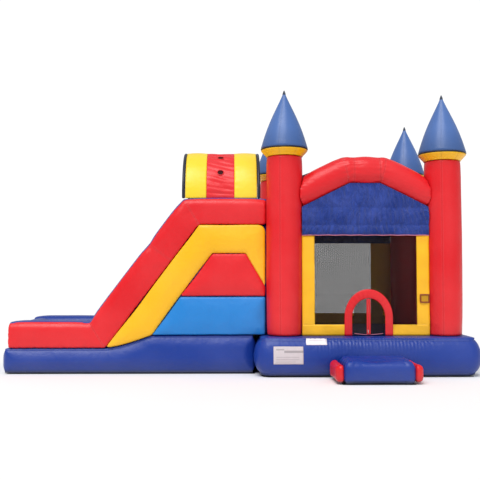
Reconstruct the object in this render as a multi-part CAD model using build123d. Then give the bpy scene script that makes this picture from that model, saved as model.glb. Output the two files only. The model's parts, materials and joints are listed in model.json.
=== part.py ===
from build123d import *
import math
import os

# Inflatable bounce castle with a side slide, in millimetres.
# Origin: centre of the castle's base, on the ground. +X runs from the slide towards the
# castle, +Y from the entrance to the rear, +Z up. Air chambers are thin closed shells or
# simple closed solids, sewn sheets are thin panels, and hardware is at its real size.

# ---------------------------------------------------------------- driving dimensions
SKIN = 8.0                  # wall of the hollow air chambers
SEW_GAP = 1.0               # clearance left where two pieces are sewn side by side

BASE_HALF = 1980.0          # castle base, half of its square side (13 ft)
BASE_TOP = 700.0
BASE_CORNER_R = 250.0
BASE_EDGE_R = 150.0
WEAR_T = 8.0                # wear sheet on the ground
WEAR_INSET = 100.0

TOWER_AT = 1450.0           # tower axes, in X and in Y
TOWER_R = 335.0
TOWER_TOP = 3865.0
FRONT_LEFT_EXTRA = 80.0     # this tower stands a little taller than the others
COLLAR_H = 125.0
COLLAR_R = 430.0
SPIRE_H = 1110.0
SPIRE_TIP_R = 6.0
SPIRE_EDGE_R = 40.0

ARCH_CENTRE_Z = 3677.5      # centre line of an arch beam's flat middle
ARCH_BEND_X = 340.0
ARCH_HEIGHT = 535.0
ARCH_DEPTH = 480.0
ARCH_SLOPE = 26.5           # degrees
SIDE_BEAM_Z = 3470.0
SIDE_BEAM_R = 150.0

SHEET_T = 8.0               # borders and netting
WALL_AT = 1600.0            # mid plane of every wall, measured from the centre
WALL_HALF = 1147.0          # half width of a wall between its two towers
FRONT_WINDOW_HALF = 920.0
REAR_WINDOW_HALF = 700.0
WINDOW_BOTTOM = 900.0
WINDOW_TOP = 2500.0
SIDE_WINDOW_TOP = 2750.0
SIDE_WALL_TOP = 3420.0
VALANCE_T = 16.0
VALANCE_TUCK = 40.0         # how far a valance runs up behind its arch
ROOF_T = 8.0
ROOF_EDGE_Z = 3625.0
ROOF_RIDGE_Z = 3860.0
ROOF_HALF_DEPTH = 1205.0
FLOOR_T = 12.0
FLOOR_HALF = 1585.0

DOOR_X = 45.0               # centre of the doorway
DOOR_OUTER_HALF = 436.0
DOOR_INNER_HALF = 296.0
DOOR_SPRING_Z = 1020.0      # where the door's straight sides end
DOOR_OUTER_TOP = 1520.0
DOOR_INNER_TOP = 1381.0
FLAP_GAP = 6.0
FLAP_RELIEF_W = 27.0        # each flap's upper hinge corner is cut back so that it can swing past the arch
FLAP_RELIEF_Z = 1058.0
TAPE_W = 35.0
TAPE_T = 5.5

STEP_HALF = 600.0
STEP_CAP = 100.0
STEP_DEPTH = 895.0
STEP_TOP = 350.0
STEP_EDGE_R = 90.0

SLIDE_FRONT = -1440.0
SLIDE_REAR = 760.0
SLIDE_END_X = -6557.0
SLIDE_BODY_X = -1620.0      # end of the slide's body, at the castle's left wall
PANEL_T = 80.0              # puffed facing panels on the slide's two sides
RAIL_W = 500.0
RAIL_EDGE_R = 150.0
RAIL_END_X = -6460.0
BED_LOW_Z = 465.0
BED_HIGH_Z = 2709.0
BED_LOW_X = -4703.0         # foot of the slope, on the bed's line
BED_HIGH_X = -3012.0        # head of the slope, on the bed's line
RAIL_LOW_Z = 940.0
RAIL_HIGH_Z = 3195.0
RAIL_LOW_X = -5004.0        # foot of the slope, along the rail's top
RAIL_HIGH_X = -3304.0       # head of the slope, along the rail's top
BED_T = 12.0
SWELL_X = -3854.0           # where the slide base reaches its full height
BUMPER_W = 440.0
BUMPER_TOP = 900.0

HOOD_R = 980.0
HOOD_T = 20.0
HOOD_Z = 3200.0
HOOD_LEFT_X = -3270.0
HOOD_RED_LEFT_X = -2881.0
HOOD_RED_RIGHT_X = -2363.0
HOOD_RIGHT_X = -1945.0
HOOD_RIM_R = 32.0
VENT_R = 62.0
VENT_ANGLES = (31.0, 58.0)  # degrees above the horizontal, on both sides of the hood

CLIMB_FOOT_X = -850.0
CLIMB_TOP_X = -1300.0
RUNG_R = 60.0
RUNG_COUNT = 5
HANDLE_W = 40.0

SLEEVE_X = 900.0
SLEEVE_R = 150.0            # inside radius, for a blower's outlet
SLEEVE_T = 8.0
SLEEVE_Z = 163.0
SLEEVE_L = 900.0
STRAP_W = 50.0
STRAP_T = 3.5

ZIP_HALF = 500.0            # deflation zip on the rear of the castle base
ZIP_Z = 360.0
ZIP_TAPE_W = 60.0
ZIP_TAPE_T = 4.0
COVER_TOP_Z = 430.0
COVER_H = 140.0
COVER_OUT = 34.0            # how far the cover stands off the base
COVER_X = (-370.0, 530.0)   # the cover leaves the parked slider free

PIN_R = 1.5                 # bridge pin of a zip slider
PIN_CLEARANCE = 0.08
PIN_OUT = 3.4               # pin's axis, off the slider's face
SLIDER_L = 28.0
SLIDER_W = 14.0
SLIDER_T = 7.0
PULL_L = 45.0
PULL_W = 8.0
PULL_T = 2.4

RING_WIRE_R = 5.0
RING_R = 35.0
RING_Z = 75.0
RING_OUT = 12.0             # ring's bar, off the wall
RING_CLEARANCE = 0.1
TAB_W = 50.0
TAB_T = 4.0
TAB_TOP = 200.0
LOOP_R = 9.0

# ---------------------------------------------------------------- derived places
SLIDE_MID = (SLIDE_FRONT + SLIDE_REAR) / 2
LANE_FRONT = SLIDE_FRONT + RAIL_W
LANE_REAR = SLIDE_REAR - RAIL_W
TOWERS = {
    "front_left": (-TOWER_AT, -TOWER_AT, FRONT_LEFT_EXTRA),
    "front_right": (TOWER_AT, -TOWER_AT, 0.0),
    "rear_left": (-TOWER_AT, TOWER_AT, 0.0),
    "rear_right": (TOWER_AT, TOWER_AT, 0.0),
}
# Each ring: where its tab is sewn, and the outward direction of that wall.
RINGS = {
    "right_front": ((BASE_HALF, -1300.0), (1, 0)),
    "right_rear": ((BASE_HALF, 1300.0), (1, 0)),
    "rear_left": ((-1300.0, BASE_HALF), (0, 1)),
    "rear_right": ((1450.0, BASE_HALF), (0, 1)),
    "slide_front": ((SLIDE_END_X, -1050.0), (-1, 0)),
    "slide_rear": ((SLIDE_END_X, 370.0), (-1, 0)),
}


# ---------------------------------------------------------------- helpers
def write(name, *shapes):
    """Writes one node, made of one or more separate solids."""
    solids = [s for shape in shapes for s in shape.solids()]
    shape = solids[0] if len(solids) == 1 else Compound(children=solids)
    export_step(shape, f"parts/{name}.step")


def block(x0, x1, y0, y1, z0, z1):
    """A plain box between two corners."""
    centre = ((x0 + x1) / 2, (y0 + y1) / 2, (z0 + z1) / 2)
    return Pos(*centre) * Box(x1 - x0, y1 - y0, z1 - z0)


def soft_block(x0, x1, y0, y1, z0, z1, corner_r, edge_r):
    """A box with round corners in plan and rounded top and bottom edges."""
    body = block(x0, x1, y0, y1, z0, z1)
    body = fillet(body.edges().filter_by(Axis.Z), corner_r)
    level = body.edges().group_by(Axis.Z)
    return fillet(level[0] + level[-1], edge_r)


def side_prism(points, y0, y1):
    """An outline in X and Z, drawn out from y0 to y1."""
    outline = make_face(Polyline(*points, close=True))
    return extrude(Plane.XZ.offset(-y0) * outline, amount=-(y1 - y0))


def front_prism(outline, y0, y1):
    """A sketch in X and Z (drawn as X and Y), drawn out from y0 to y1."""
    return extrude(Plane.XZ.offset(-y0) * outline, amount=-(y1 - y0))


def tower_clearance(names=TOWERS):
    """Upright cylinders that keep other pieces clear of the towers."""
    made = [
        Pos(TOWERS[n][0], TOWERS[n][1], 2500) * Cylinder(TOWER_R + SEW_GAP, 4200)
        for n in names
    ]
    return made


def clear_of_towers(shape, names=TOWERS):
    for cutter in tower_clearance(names):
        shape = shape - cutter
    return shape


def mirror_to_rear(shape):
    return mirror(shape, about=Plane.XZ)


# ---------------------------------------------------------------- castle base and floor
def castle_base():
    outer = soft_block(
        -BASE_HALF, BASE_HALF, -BASE_HALF, BASE_HALF, WEAR_T, BASE_TOP, BASE_CORNER_R, BASE_EDGE_R
    )
    inner_half = BASE_HALF - SKIN
    inner = soft_block(
        -inner_half, inner_half, -inner_half, inner_half, WEAR_T + SKIN, BASE_TOP - SKIN,
        BASE_CORNER_R - SKIN, BASE_EDGE_R - SKIN,
    )
    return outer - inner


def mattress_baffles():
    """Upright sheets inside the base that tie its top to its bottom and leave air gaps at the ends."""
    pitch = 440.0
    half = 1700.0
    made = []
    for k in range(8):
        y = (k - 3.5) * pitch
        made.append(block(-half, half, y - 2, y + 2, WEAR_T + 2 * SKIN, BASE_TOP - 2 * SKIN))
    return made


def wear_sheets():
    """Tough sheets under the castle, the slide and the step, lying on the ground."""
    half = BASE_HALF - WEAR_INSET
    castle = block(-half, half, -half, half, 0, WEAR_T)
    castle = fillet(castle.edges().filter_by(Axis.Z), BASE_CORNER_R - WEAR_INSET)
    slide = block(
        SLIDE_END_X + WEAR_INSET, -BASE_HALF - 10, SLIDE_FRONT + 40, SLIDE_REAR - 40, 0, WEAR_T
    )
    step = block(-STEP_HALF, STEP_HALF, -BASE_HALF - STEP_DEPTH + 60, -BASE_HALF - 10, 0, WEAR_T)
    return castle, slide, step


def bounce_floor():
    sheet = block(
        -FLOOR_HALF, FLOOR_HALF, -FLOOR_HALF, FLOOR_HALF, BASE_TOP + 0.5, BASE_TOP + FLOOR_T
    )
    return clear_of_towers(sheet)


# ---------------------------------------------------------------- towers
def tower(x, y, extra):
    height = TOWER_TOP + extra - BASE_TOP
    middle = BASE_TOP + height / 2
    return Pos(x, y, middle) * (Cylinder(TOWER_R, height) - Cylinder(TOWER_R - SKIN, height - 2 * SKIN))


def collar(x, y, extra):
    return Pos(x, y, TOWER_TOP + extra + COLLAR_H / 2) * Cone(TOWER_R, COLLAR_R, COLLAR_H)


def spire(x, y, extra):
    cone = Cone(COLLAR_R, SPIRE_TIP_R, SPIRE_H)
    cone = fillet(cone.edges().sort_by(Axis.Z)[0], SPIRE_EDGE_R)
    return Pos(x, y, TOWER_TOP + extra + COLLAR_H + SPIRE_H / 2) * cone


# ---------------------------------------------------------------- arches and beams
def arch_front():
    """Three mitred lengths of an oval beam: a level middle and two that slope down to the towers."""
    slope = math.radians(ARCH_SLOPE)
    section = Ellipse(ARCH_DEPTH / 2, ARCH_HEIGHT / 2)
    bend = Vector(ARCH_BEND_X, -TOWER_AT, ARCH_CENTRE_Z)
    across = (0, 1, 0)
    down = Vector(math.cos(slope), 0, -math.sin(slope))
    mitre = Plane(bend, x_dir=across, z_dir=(math.cos(slope / 2), 0, -math.sin(slope / 2)))

    centre = Plane((0, -TOWER_AT, ARCH_CENTRE_Z), x_dir=across, z_dir=(1, 0, 0))
    half = split(extrude(centre * section, amount=2 * ARCH_BEND_X), bisect_by=mitre, keep=Keep.BOTTOM)
    middle = half + mirror(half, about=Plane.YZ)

    before_bend = Plane(bend - down * ARCH_HEIGHT, x_dir=across, z_dir=down)
    right = extrude(before_bend * section, amount=ARCH_HEIGHT + TOWER_AT)
    right = split(right, bisect_by=mitre.offset(SEW_GAP), keep=Keep.TOP)
    within_tower = TOWER_AT - 60
    right = right & block(0, within_tower, -2 * TOWER_AT, 0, BASE_TOP, 2 * ARCH_CENTRE_Z)
    left = mirror(right, about=Plane.YZ)
    return [clear_of_towers(s, ("front_left", "front_right")) for s in (left, middle, right)]


def side_beams():
    beam = Rot(90, 0, 0) * Cylinder(SIDE_BEAM_R, 2 * TOWER_AT - 120)
    made = []
    for side in (-1, 1):
        made.append(clear_of_towers(Pos(side * TOWER_AT, 0, SIDE_BEAM_Z) * beam))
    return made


# ---------------------------------------------------------------- walls and roof
def arch_underside_z(x):
    """Height of the arch's lower silhouette above a point on the wall."""
    slope = math.radians(ARCH_SLOPE)
    flat_to = ARCH_BEND_X - ARCH_HEIGHT / 2 * math.tan(slope / 2)
    flat_z = ARCH_CENTRE_Z - ARCH_HEIGHT / 2
    return flat_z - max(0.0, abs(x) - flat_to) * math.tan(slope), flat_to


def valance_front():
    side_z, flat_to = arch_underside_z(WALL_HALF)
    top_z = arch_underside_z(0)[0] + VALANCE_TUCK
    points = [
        (-WALL_HALF, WINDOW_TOP + SEW_GAP), (WALL_HALF, WINDOW_TOP + SEW_GAP),
        (WALL_HALF, side_z + VALANCE_TUCK), (flat_to, top_z), (-flat_to, top_z),
        (-WALL_HALF, side_z + VALANCE_TUCK),
    ]
    front = -WALL_AT - VALANCE_T + SHEET_T / 2
    return side_prism(points, front, front + VALANCE_T)


def valance_right():
    return block(
        WALL_AT - SHEET_T / 2, WALL_AT - SHEET_T / 2 + VALANCE_T, -WALL_HALF, WALL_HALF,
        SIDE_WINDOW_TOP + SEW_GAP, SIDE_WALL_TOP,
    )


def door_arch(half, top):
    """The doorway's outline, straight sided below and half an ellipse above, drawn in X and Z."""
    base = BASE_TOP + 2
    lower = Pos(DOOR_X, (base + DOOR_SPRING_Z) / 2) * Rectangle(2 * half, DOOR_SPRING_Z - base)
    upper = Pos(DOOR_X, DOOR_SPRING_Z) * Ellipse(half, top - DOOR_SPRING_Z)
    upper = upper & (Pos(DOOR_X, DOOR_SPRING_Z + 500) * Rectangle(2000, 1000))
    return lower + upper


DOOR_CUT_HALF = (DOOR_OUTER_HALF + DOOR_INNER_HALF) / 2
DOOR_CUT_TOP = (DOOR_OUTER_TOP + DOOR_INNER_TOP) / 2


def wall_sheet(x0, x1, z0, z1):
    """A sewn sheet in the front wall's plane."""
    return block(x0, x1, -WALL_AT - SHEET_T / 2, -WALL_AT + SHEET_T / 2, z0, z1)


def border_front():
    low = BASE_TOP + SEW_GAP
    w = FRONT_WINDOW_HALF
    return [
        wall_sheet(-WALL_HALF, -w, WINDOW_BOTTOM, WINDOW_TOP),
        wall_sheet(w, WALL_HALF, WINDOW_BOTTOM, WINDOW_TOP),
        wall_sheet(-WALL_HALF, DOOR_X - DOOR_CUT_HALF, low, WINDOW_BOTTOM),
        wall_sheet(DOOR_X + DOOR_CUT_HALF, WALL_HALF, low, WINDOW_BOTTOM),
    ]


def netting_front():
    w = FRONT_WINDOW_HALF
    window = wall_sheet(-w, w, WINDOW_BOTTOM, WINDOW_TOP)
    hole = front_prism(door_arch(DOOR_CUT_HALF, DOOR_CUT_TOP), -WALL_AT - 50, -WALL_AT + 50)
    return window - hole


def borders_rear_and_sides():
    low = BASE_TOP + SEW_GAP
    w = REAR_WINDOW_HALF
    rear = [
        wall_sheet(-WALL_HALF, -w, low, WINDOW_TOP),
        wall_sheet(w, WALL_HALF, low, WINDOW_TOP),
        wall_sheet(-w, w, low, WINDOW_BOTTOM + 44),
    ]
    rear = [mirror_to_rear(s) for s in rear]
    x0, x1 = WALL_AT - SHEET_T / 2, WALL_AT + SHEET_T / 2
    s = FRONT_WINDOW_HALF
    right = [
        block(x0, x1, -WALL_HALF, -s, low, SIDE_WINDOW_TOP),
        block(x0, x1, s, WALL_HALF, low, SIDE_WINDOW_TOP),
        block(x0, x1, -s, s, low, WINDOW_BOTTOM + 20),
    ]
    left = block(-x1, -x0, SLIDE_REAR + 5, WALL_HALF, low, SIDE_WALL_TOP)
    return rear + right + [left]


def netting_rear_and_side():
    w = REAR_WINDOW_HALF
    s = FRONT_WINDOW_HALF
    rear = mirror_to_rear(wall_sheet(-w, w, WINDOW_BOTTOM + 44, WINDOW_TOP))
    right = block(
        WALL_AT - SHEET_T / 2, WALL_AT + SHEET_T / 2, -s, s, WINDOW_BOTTOM + 20, SIDE_WINDOW_TOP
    )
    return rear, right


def roof_panels():
    """A flat ridge panel and two that fall to the side beams."""
    d = ROOF_HALF_DEPTH
    edge, bend = TOWER_AT, ARCH_BEND_X
    ridge = block(-bend, bend, -d, d, ROOF_RIDGE_Z, ROOF_RIDGE_Z + ROOF_T)
    right = side_prism(
        [
            (bend, ROOF_RIDGE_Z), (edge, ROOF_EDGE_Z), (edge, ROOF_EDGE_Z + ROOF_T),
            (bend, ROOF_RIDGE_Z + ROOF_T),
        ],
        -d, d,
    )
    return [clear_of_towers(s) for s in (mirror(right, about=Plane.YZ), ridge, right)]


# ---------------------------------------------------------------- doorway
def door_frame():
    outline = door_arch(DOOR_OUTER_HALF, DOOR_OUTER_TOP) - door_arch(DOOR_INNER_HALF, DOOR_INNER_TOP)
    return front_prism(outline, -WALL_AT - 14, -WALL_AT - 5)


def door_flap(side):
    """One half of the door, from its jamb to the centre line. side is -1 for left, 1 for right."""
    half = DOOR_INNER_HALF - FLAP_GAP
    outline = door_arch(half, DOOR_INNER_TOP - FLAP_GAP)
    keep = Pos(DOOR_X + side * (half / 2 + 1.5), 1100) * Rectangle(half, 768)
    relief = Pos(DOOR_X + side * half, FLAP_RELIEF_Z + 200) * Rectangle(2 * FLAP_RELIEF_W, 400)
    return front_prism((outline & keep) - relief, -WALL_AT - 4, -WALL_AT + 3)


def door_tape(side):
    near, far = DOOR_X + side * 1.0, DOOR_X + side * (1.0 + TAPE_W)
    front = -WALL_AT - 4.5 - TAPE_T
    return block(min(near, far), max(near, far), front, front + TAPE_T, 722, 1358)


# ---------------------------------------------------------------- zip sliders
def slider_with_bridge():
    """A zip slider at the origin: plate in X and Z, its back at Y 0, its bridge pin standing out in -Y."""
    body = block(-SLIDER_W / 2, SLIDER_W / 2, -SLIDER_T, 0, -SLIDER_L / 2, SLIDER_L / 2)
    body = fillet(body.edges().filter_by(Axis.Y), 4)
    ears = []
    for side in (-1, 1):
        x = side * (PULL_W / 2 + 1.7)
        ears.append(block(x - 1.2, x + 1.2, -SLIDER_T - PIN_OUT - 2, -SLIDER_T, -3, 3))
    pin = Pos(0, -SLIDER_T - PIN_OUT, 0) * (Rot(0, 90, 0) * Cylinder(PIN_R, PULL_W + 5))
    return body + ears[0] + ears[1] + pin


def pull_tab():
    """A pull tab that hangs from the bridge pin, with its eye round the pin."""
    y = -SLIDER_T - PIN_OUT
    eye = Pos(0, y, 0) * (Rot(0, 90, 0) * Cylinder(PIN_R + 1.4, PULL_W))
    plate = block(-PULL_W / 2, PULL_W / 2, y - PULL_T / 2, y + PULL_T / 2, -PULL_L, 0)
    plate = fillet(plate.edges().filter_by(Axis.Y).group_by(Axis.Z)[0], 3)
    hole = Pos(0, y, 0) * (Rot(0, 90, 0) * Cylinder(PIN_R + PIN_CLEARANCE, PULL_W + 2))
    return (eye + plate) - hole


DOOR_SLIDER_PLACE = Pos(DOOR_X - 10, -WALL_AT - 4.5 - TAPE_T - 0.5, 790)
DEFLATION_PLACE = Pos(-ZIP_HALF + 60, BASE_HALF + SEW_GAP + ZIP_TAPE_T + 0.5, ZIP_Z) * Rot(0, 0, 180)


def deflation_zip():
    """Zip tape on the rear of the base, and the sewn strip that its cover hangs from."""
    y = BASE_HALF + SEW_GAP
    tape = block(-ZIP_HALF, ZIP_HALF, y, y + ZIP_TAPE_T, ZIP_Z - ZIP_TAPE_W / 2, ZIP_Z + ZIP_TAPE_W / 2)
    x0, x1 = COVER_X
    strip = block(x0, x1, y, y + COVER_OUT - 6, COVER_TOP_Z + 5, COVER_TOP_Z + 13)
    return tape, strip


def deflation_cover():
    y = BASE_HALF + SEW_GAP + COVER_OUT
    x0, x1 = COVER_X
    return block(x0, x1, y - 3, y, COVER_TOP_Z - COVER_H, COVER_TOP_Z)


# ---------------------------------------------------------------- entrance step
def step_body():
    front = -BASE_HALF - STEP_DEPTH
    body = block(-STEP_HALF, STEP_HALF, front, -BASE_HALF - 5, WEAR_T, STEP_TOP)
    return fillet(body.edges().filter_by(Axis.X), STEP_EDGE_R)


def step_end(side):
    """A puffed end cap, on the left for side -1 and on the right for side 1."""
    front = -BASE_HALF - STEP_DEPTH
    x0 = side * (STEP_HALF + SEW_GAP)
    x1 = side * (STEP_HALF + STEP_CAP)
    cap = block(min(x0, x1), max(x0, x1), front + 20, -BASE_HALF - 25, WEAR_T + 10, STEP_TOP - 15)
    cap = fillet(cap.edges().filter_by(Axis.X), STEP_EDGE_R)
    outer_face = cap.faces().sort_by(Axis.X)[-1 if side > 0 else 0]
    return fillet(outer_face.edges(), STEP_EDGE_R - 10)


# ---------------------------------------------------------------- slide
def base_top_outline():
    """Top line of the slide's base: low under the landing, swelling to full height under the slope."""
    foot = Vector(BED_LOW_X + 13, BED_LOW_Z)
    top = Vector(SWELL_X, BASE_TOP)
    return foot, top


def swell_curve():
    foot, top = base_top_outline()
    return Spline(foot, top, tangents=[(1.0, 0.12), (0.9, 0.32)])


def slide_base():
    foot, top = base_top_outline()
    right = -BASE_HALF - SEW_GAP
    edges = [
        swell_curve(),
        Line(top, (right, BASE_TOP)),
        Line((right, BASE_TOP), (right, WEAR_T)),
        Line((right, WEAR_T), (SLIDE_END_X, WEAR_T)),
        Line((SLIDE_END_X, WEAR_T), (SLIDE_END_X, BED_LOW_Z)),
        Line((SLIDE_END_X, BED_LOW_Z), foot),
    ]
    outer = front_prism(make_face(edges), SLIDE_FRONT, SLIDE_REAR)
    low = block(
        SLIDE_END_X + SKIN, right - SKIN, SLIDE_FRONT + SKIN, SLIDE_REAR - SKIN,
        WEAR_T + SKIN, BED_LOW_Z - SKIN,
    )
    high = block(
        SWELL_X, right - SKIN, SLIDE_FRONT + SKIN, SLIDE_REAR - SKIN, WEAR_T + SKIN, BASE_TOP - SKIN
    )
    return outer - (low + high)


def slide_body():
    """The tall chamber under the slope and the platform."""
    foot, top = base_top_outline()
    end = SLIDE_BODY_X
    edges = [
        swell_curve(),
        Line(top, (end, BASE_TOP)),
        Line((end, BASE_TOP), (end, BED_HIGH_Z)),
        Line((end, BED_HIGH_Z), (BED_HIGH_X, BED_HIGH_Z)),
        Line((BED_HIGH_X, BED_HIGH_Z), foot),
    ]
    y0, y1 = SLIDE_FRONT + PANEL_T, SLIDE_REAR - PANEL_T
    outer = front_prism(make_face(edges), y0, y1)
    slope = (BED_HIGH_Z - BED_LOW_Z) / (BED_HIGH_X - BED_LOW_X)
    air_foot = SWELL_X + 60
    air_foot_z = BED_HIGH_Z - (BED_HIGH_X - air_foot) * slope - 3 * SKIN
    beside_tower = -BASE_HALF
    air = side_prism(
        [
            (air_foot, BASE_TOP + SKIN), (beside_tower, BASE_TOP + SKIN),
            (beside_tower, BED_HIGH_Z - SKIN), (BED_HIGH_X + SKIN, BED_HIGH_Z - SKIN),
            (air_foot, air_foot_z),
        ],
        y0 + SKIN, y1 - SKIN,
    )
    behind_tower = block(
        beside_tower - SKIN, end - SKIN, -TOWER_AT + TOWER_R + 2 * SKIN, y1 - SKIN,
        BASE_TOP + SKIN, BED_HIGH_Z - SKIN,
    )
    return clear_of_towers(outer - (air + behind_tower), ("front_left",))


def ramp_baffles():
    """Upright sheets inside the slide's body."""
    slope = (BED_HIGH_Z - BED_LOW_Z) / (BED_HIGH_X - BED_LOW_X)
    made = []
    for x in (-3400.0, -2800.0, -2300.0):
        top = min(BED_HIGH_Z, BED_HIGH_Z + (x - BED_HIGH_X) * slope) - 60
        made.append(
            block(x - 2, x + 2, SLIDE_FRONT + PANEL_T + 60, SLIDE_REAR - PANEL_T - 60,
                  BASE_TOP + 2 * SKIN, top)
        )
    return made


def rail(y0, y1):
    """A side rail in three mitred lengths: along the landing, up the slope and along the platform."""
    end = SLIDE_BODY_X
    quads = [
        [(RAIL_END_X, BED_LOW_Z), (BED_LOW_X, BED_LOW_Z), (RAIL_LOW_X, RAIL_LOW_Z), (RAIL_END_X, RAIL_LOW_Z)],
        [(BED_LOW_X, BED_LOW_Z), (BED_HIGH_X, BED_HIGH_Z), (RAIL_HIGH_X, RAIL_HIGH_Z), (RAIL_LOW_X, RAIL_LOW_Z)],
        [(BED_HIGH_X, BED_HIGH_Z), (end, BED_HIGH_Z), (end, RAIL_HIGH_Z), (RAIL_HIGH_X, RAIL_HIGH_Z)],
    ]
    made = []
    for quad in quads:
        length = side_prism(quad, y0, y1)
        top_edges = [e for e in length.edges() if lies_along(e, quad[3], quad[2])]
        made.append(fillet(top_edges, RAIL_EDGE_R))
    return made


def lies_along(edge, start, end):
    """True where both ends of an edge are on the line between two points in X and Z."""
    run = Vector(end[0] - start[0], 0, end[1] - start[1])
    tips = [edge.position_at(0), edge.position_at(1)]
    offs = [run.cross(Vector(p.X - start[0], 0, p.Z - start[1])).length for p in tips]
    return max(offs) < 1e-3 * run.length and (tips[0] - tips[1]).cross(Vector(0, 1, 0)).length > 1


def end_bumper():
    body = block(
        RAIL_END_X, RAIL_END_X + BUMPER_W, LANE_FRONT + SEW_GAP, LANE_REAR - SEW_GAP,
        BED_LOW_Z, BUMPER_TOP,
    )
    top = body.edges().filter_by(Axis.Y).group_by(Axis.Z)[-1]
    return fillet(top, RAIL_EDGE_R)


def slide_bed():
    """The sliding sheet, over the landing, the slope and the platform."""
    y0, y1 = LANE_FRONT + SEW_GAP, LANE_REAR - SEW_GAP
    rise = BED_HIGH_Z - BED_LOW_Z
    run = BED_HIGH_X - BED_LOW_X
    half_turn = math.atan2(rise, run) / 2
    back = BED_T * math.tan(half_turn)
    start = RAIL_END_X + BUMPER_W + SEW_GAP
    low_in = (BED_LOW_X - back, BED_LOW_Z + BED_T)
    high_in = (BED_HIGH_X - back, BED_HIGH_Z + BED_T)
    return [
        side_prism([(start, BED_LOW_Z), (BED_LOW_X, BED_LOW_Z), low_in, (start, BED_LOW_Z + BED_T)], y0, y1),
        side_prism([(BED_LOW_X, BED_LOW_Z), (BED_HIGH_X, BED_HIGH_Z), high_in, low_in], y0, y1),
        side_prism(
            [
                (BED_HIGH_X, BED_HIGH_Z), (SLIDE_BODY_X, BED_HIGH_Z),
                (SLIDE_BODY_X, BED_HIGH_Z + BED_T), high_in,
            ],
            y0, y1,
        ),
    ]


PANEL_RIGHT_X = -1790.0
PEAK_LEFT = (-2765.0, 2180.0)
PEAK_RIGHT = (-2145.0, 2180.0)
SHOULDER = (-3350.0, 1400.0)
RED_SIDE_Z = 1580.0


def yellow_band(y0, y1):
    foot, top = base_top_outline()
    corner_r = 130.0
    edges = [
        swell_curve(),
        Line(top, SHOULDER),
        Line(SHOULDER, PEAK_LEFT),
        Line(PEAK_LEFT, PEAK_RIGHT),
        Line(PEAK_RIGHT, (PANEL_RIGHT_X, RED_SIDE_Z)),
        Line((PANEL_RIGHT_X, RED_SIDE_Z), (PANEL_RIGHT_X, BED_HIGH_Z)),
        Line((PANEL_RIGHT_X, BED_HIGH_Z), (BED_HIGH_X, BED_HIGH_Z)),
        Line((BED_HIGH_X, BED_HIGH_Z), foot),
    ]
    band = front_prism(make_face(edges), y0, y1)
    corner = [
        e for e in band.edges().filter_by(Axis.Y)
        if abs(e.center().X - PANEL_RIGHT_X) < 1 and abs(e.center().Z - BED_HIGH_Z) < 1
    ]
    return fillet(corner, corner_r)


def red_panel(y0, y1):
    return side_prism(
        [SHOULDER, PEAK_LEFT, PEAK_RIGHT, (PANEL_RIGHT_X, RED_SIDE_Z), (PANEL_RIGHT_X, SHOULDER[1])], y0, y1
    )


def blue_panel(y0, y1):
    return side_prism(
        [(SWELL_X, BASE_TOP), SHOULDER, (PANEL_RIGHT_X, SHOULDER[1]), (PANEL_RIGHT_X, BASE_TOP)], y0, y1
    )


PANEL_SIDES = ((SLIDE_FRONT, SLIDE_FRONT + PANEL_T), (SLIDE_REAR - PANEL_T, SLIDE_REAR))


# ---------------------------------------------------------------- hood over the platform
def hood_length(x0, x1):
    """A half tube along X, over the platform."""
    along = Plane(origin=(x0, SLIDE_MID, HOOD_Z), x_dir=(0, 1, 0), z_dir=(1, 0, 0))
    ring = Circle(HOOD_R) - Circle(HOOD_R - HOOD_T)
    upper = ring & (Pos(0, HOOD_R) * Rectangle(3 * HOOD_R, 2 * HOOD_R))
    return extrude(along * upper, amount=x1 - x0)


def hood_red():
    shell = hood_length(HOOD_RED_LEFT_X, HOOD_RED_RIGHT_X)
    middle = (HOOD_RED_LEFT_X + HOOD_RED_RIGHT_X) / 2
    for angle in VENT_ANGLES:
        for tilt in (angle, 180 - angle):
            punch = Rot(tilt - 90, 0, 0) * (Pos(0, 0, HOOD_R) * Cylinder(VENT_R, 200))
            shell = shell - (Pos(middle, SLIDE_MID, HOOD_Z) * punch)
    return shell


def hood_rim(x):
    """A padded half hoop at one end of the hood."""
    major = HOOD_R - HOOD_RIM_R
    profile = Plane(origin=(x, SLIDE_MID - major, HOOD_Z), x_dir=(1, 0, 0), z_dir=(0, 0, 1))
    axis = Axis((x, SLIDE_MID, HOOD_Z), (-1, 0, 0))
    return revolve(profile * Circle(HOOD_RIM_R), axis, revolution_arc=180)


# ---------------------------------------------------------------- climb into the slide
CLIMB_BOTTOM_Z = BASE_TOP + FLOOR_T + SEW_GAP


def climb_wedge(inset):
    """The wedge that children climb, or the air inside it when it is inset."""
    back = SLIDE_BODY_X + SEW_GAP + inset
    low, high = CLIMB_BOTTOM_Z + inset, BED_HIGH_Z - inset
    return side_prism(
        [(back, low), (CLIMB_FOOT_X - inset, low), (CLIMB_TOP_X - inset, high), (back, high)],
        LANE_FRONT + inset, LANE_REAR - inset,
    )


def climb_wall():
    return climb_wedge(0) - climb_wedge(SKIN)


def climb_face(height):
    """X of the climbing face at a height."""
    share = (height - CLIMB_BOTTOM_Z) / (BED_HIGH_Z - CLIMB_BOTTOM_Z)
    return CLIMB_FOOT_X + share * (CLIMB_TOP_X - CLIMB_FOOT_X)


def climb_rungs():
    pitch = (BED_HIGH_Z - CLIMB_BOTTOM_Z) / (RUNG_COUNT + 1)
    length = LANE_REAR - LANE_FRONT - 160
    wall = climb_wedge(0)
    made = []
    for k in range(RUNG_COUNT):
        z = CLIMB_BOTTOM_Z + (k + 0.8) * pitch
        rung = Pos(climb_face(z), (LANE_FRONT + LANE_REAR) / 2, z) * (Rot(90, 0, 0) * Cylinder(RUNG_R, length))
        made.append(rung - wall)
    return made


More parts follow.
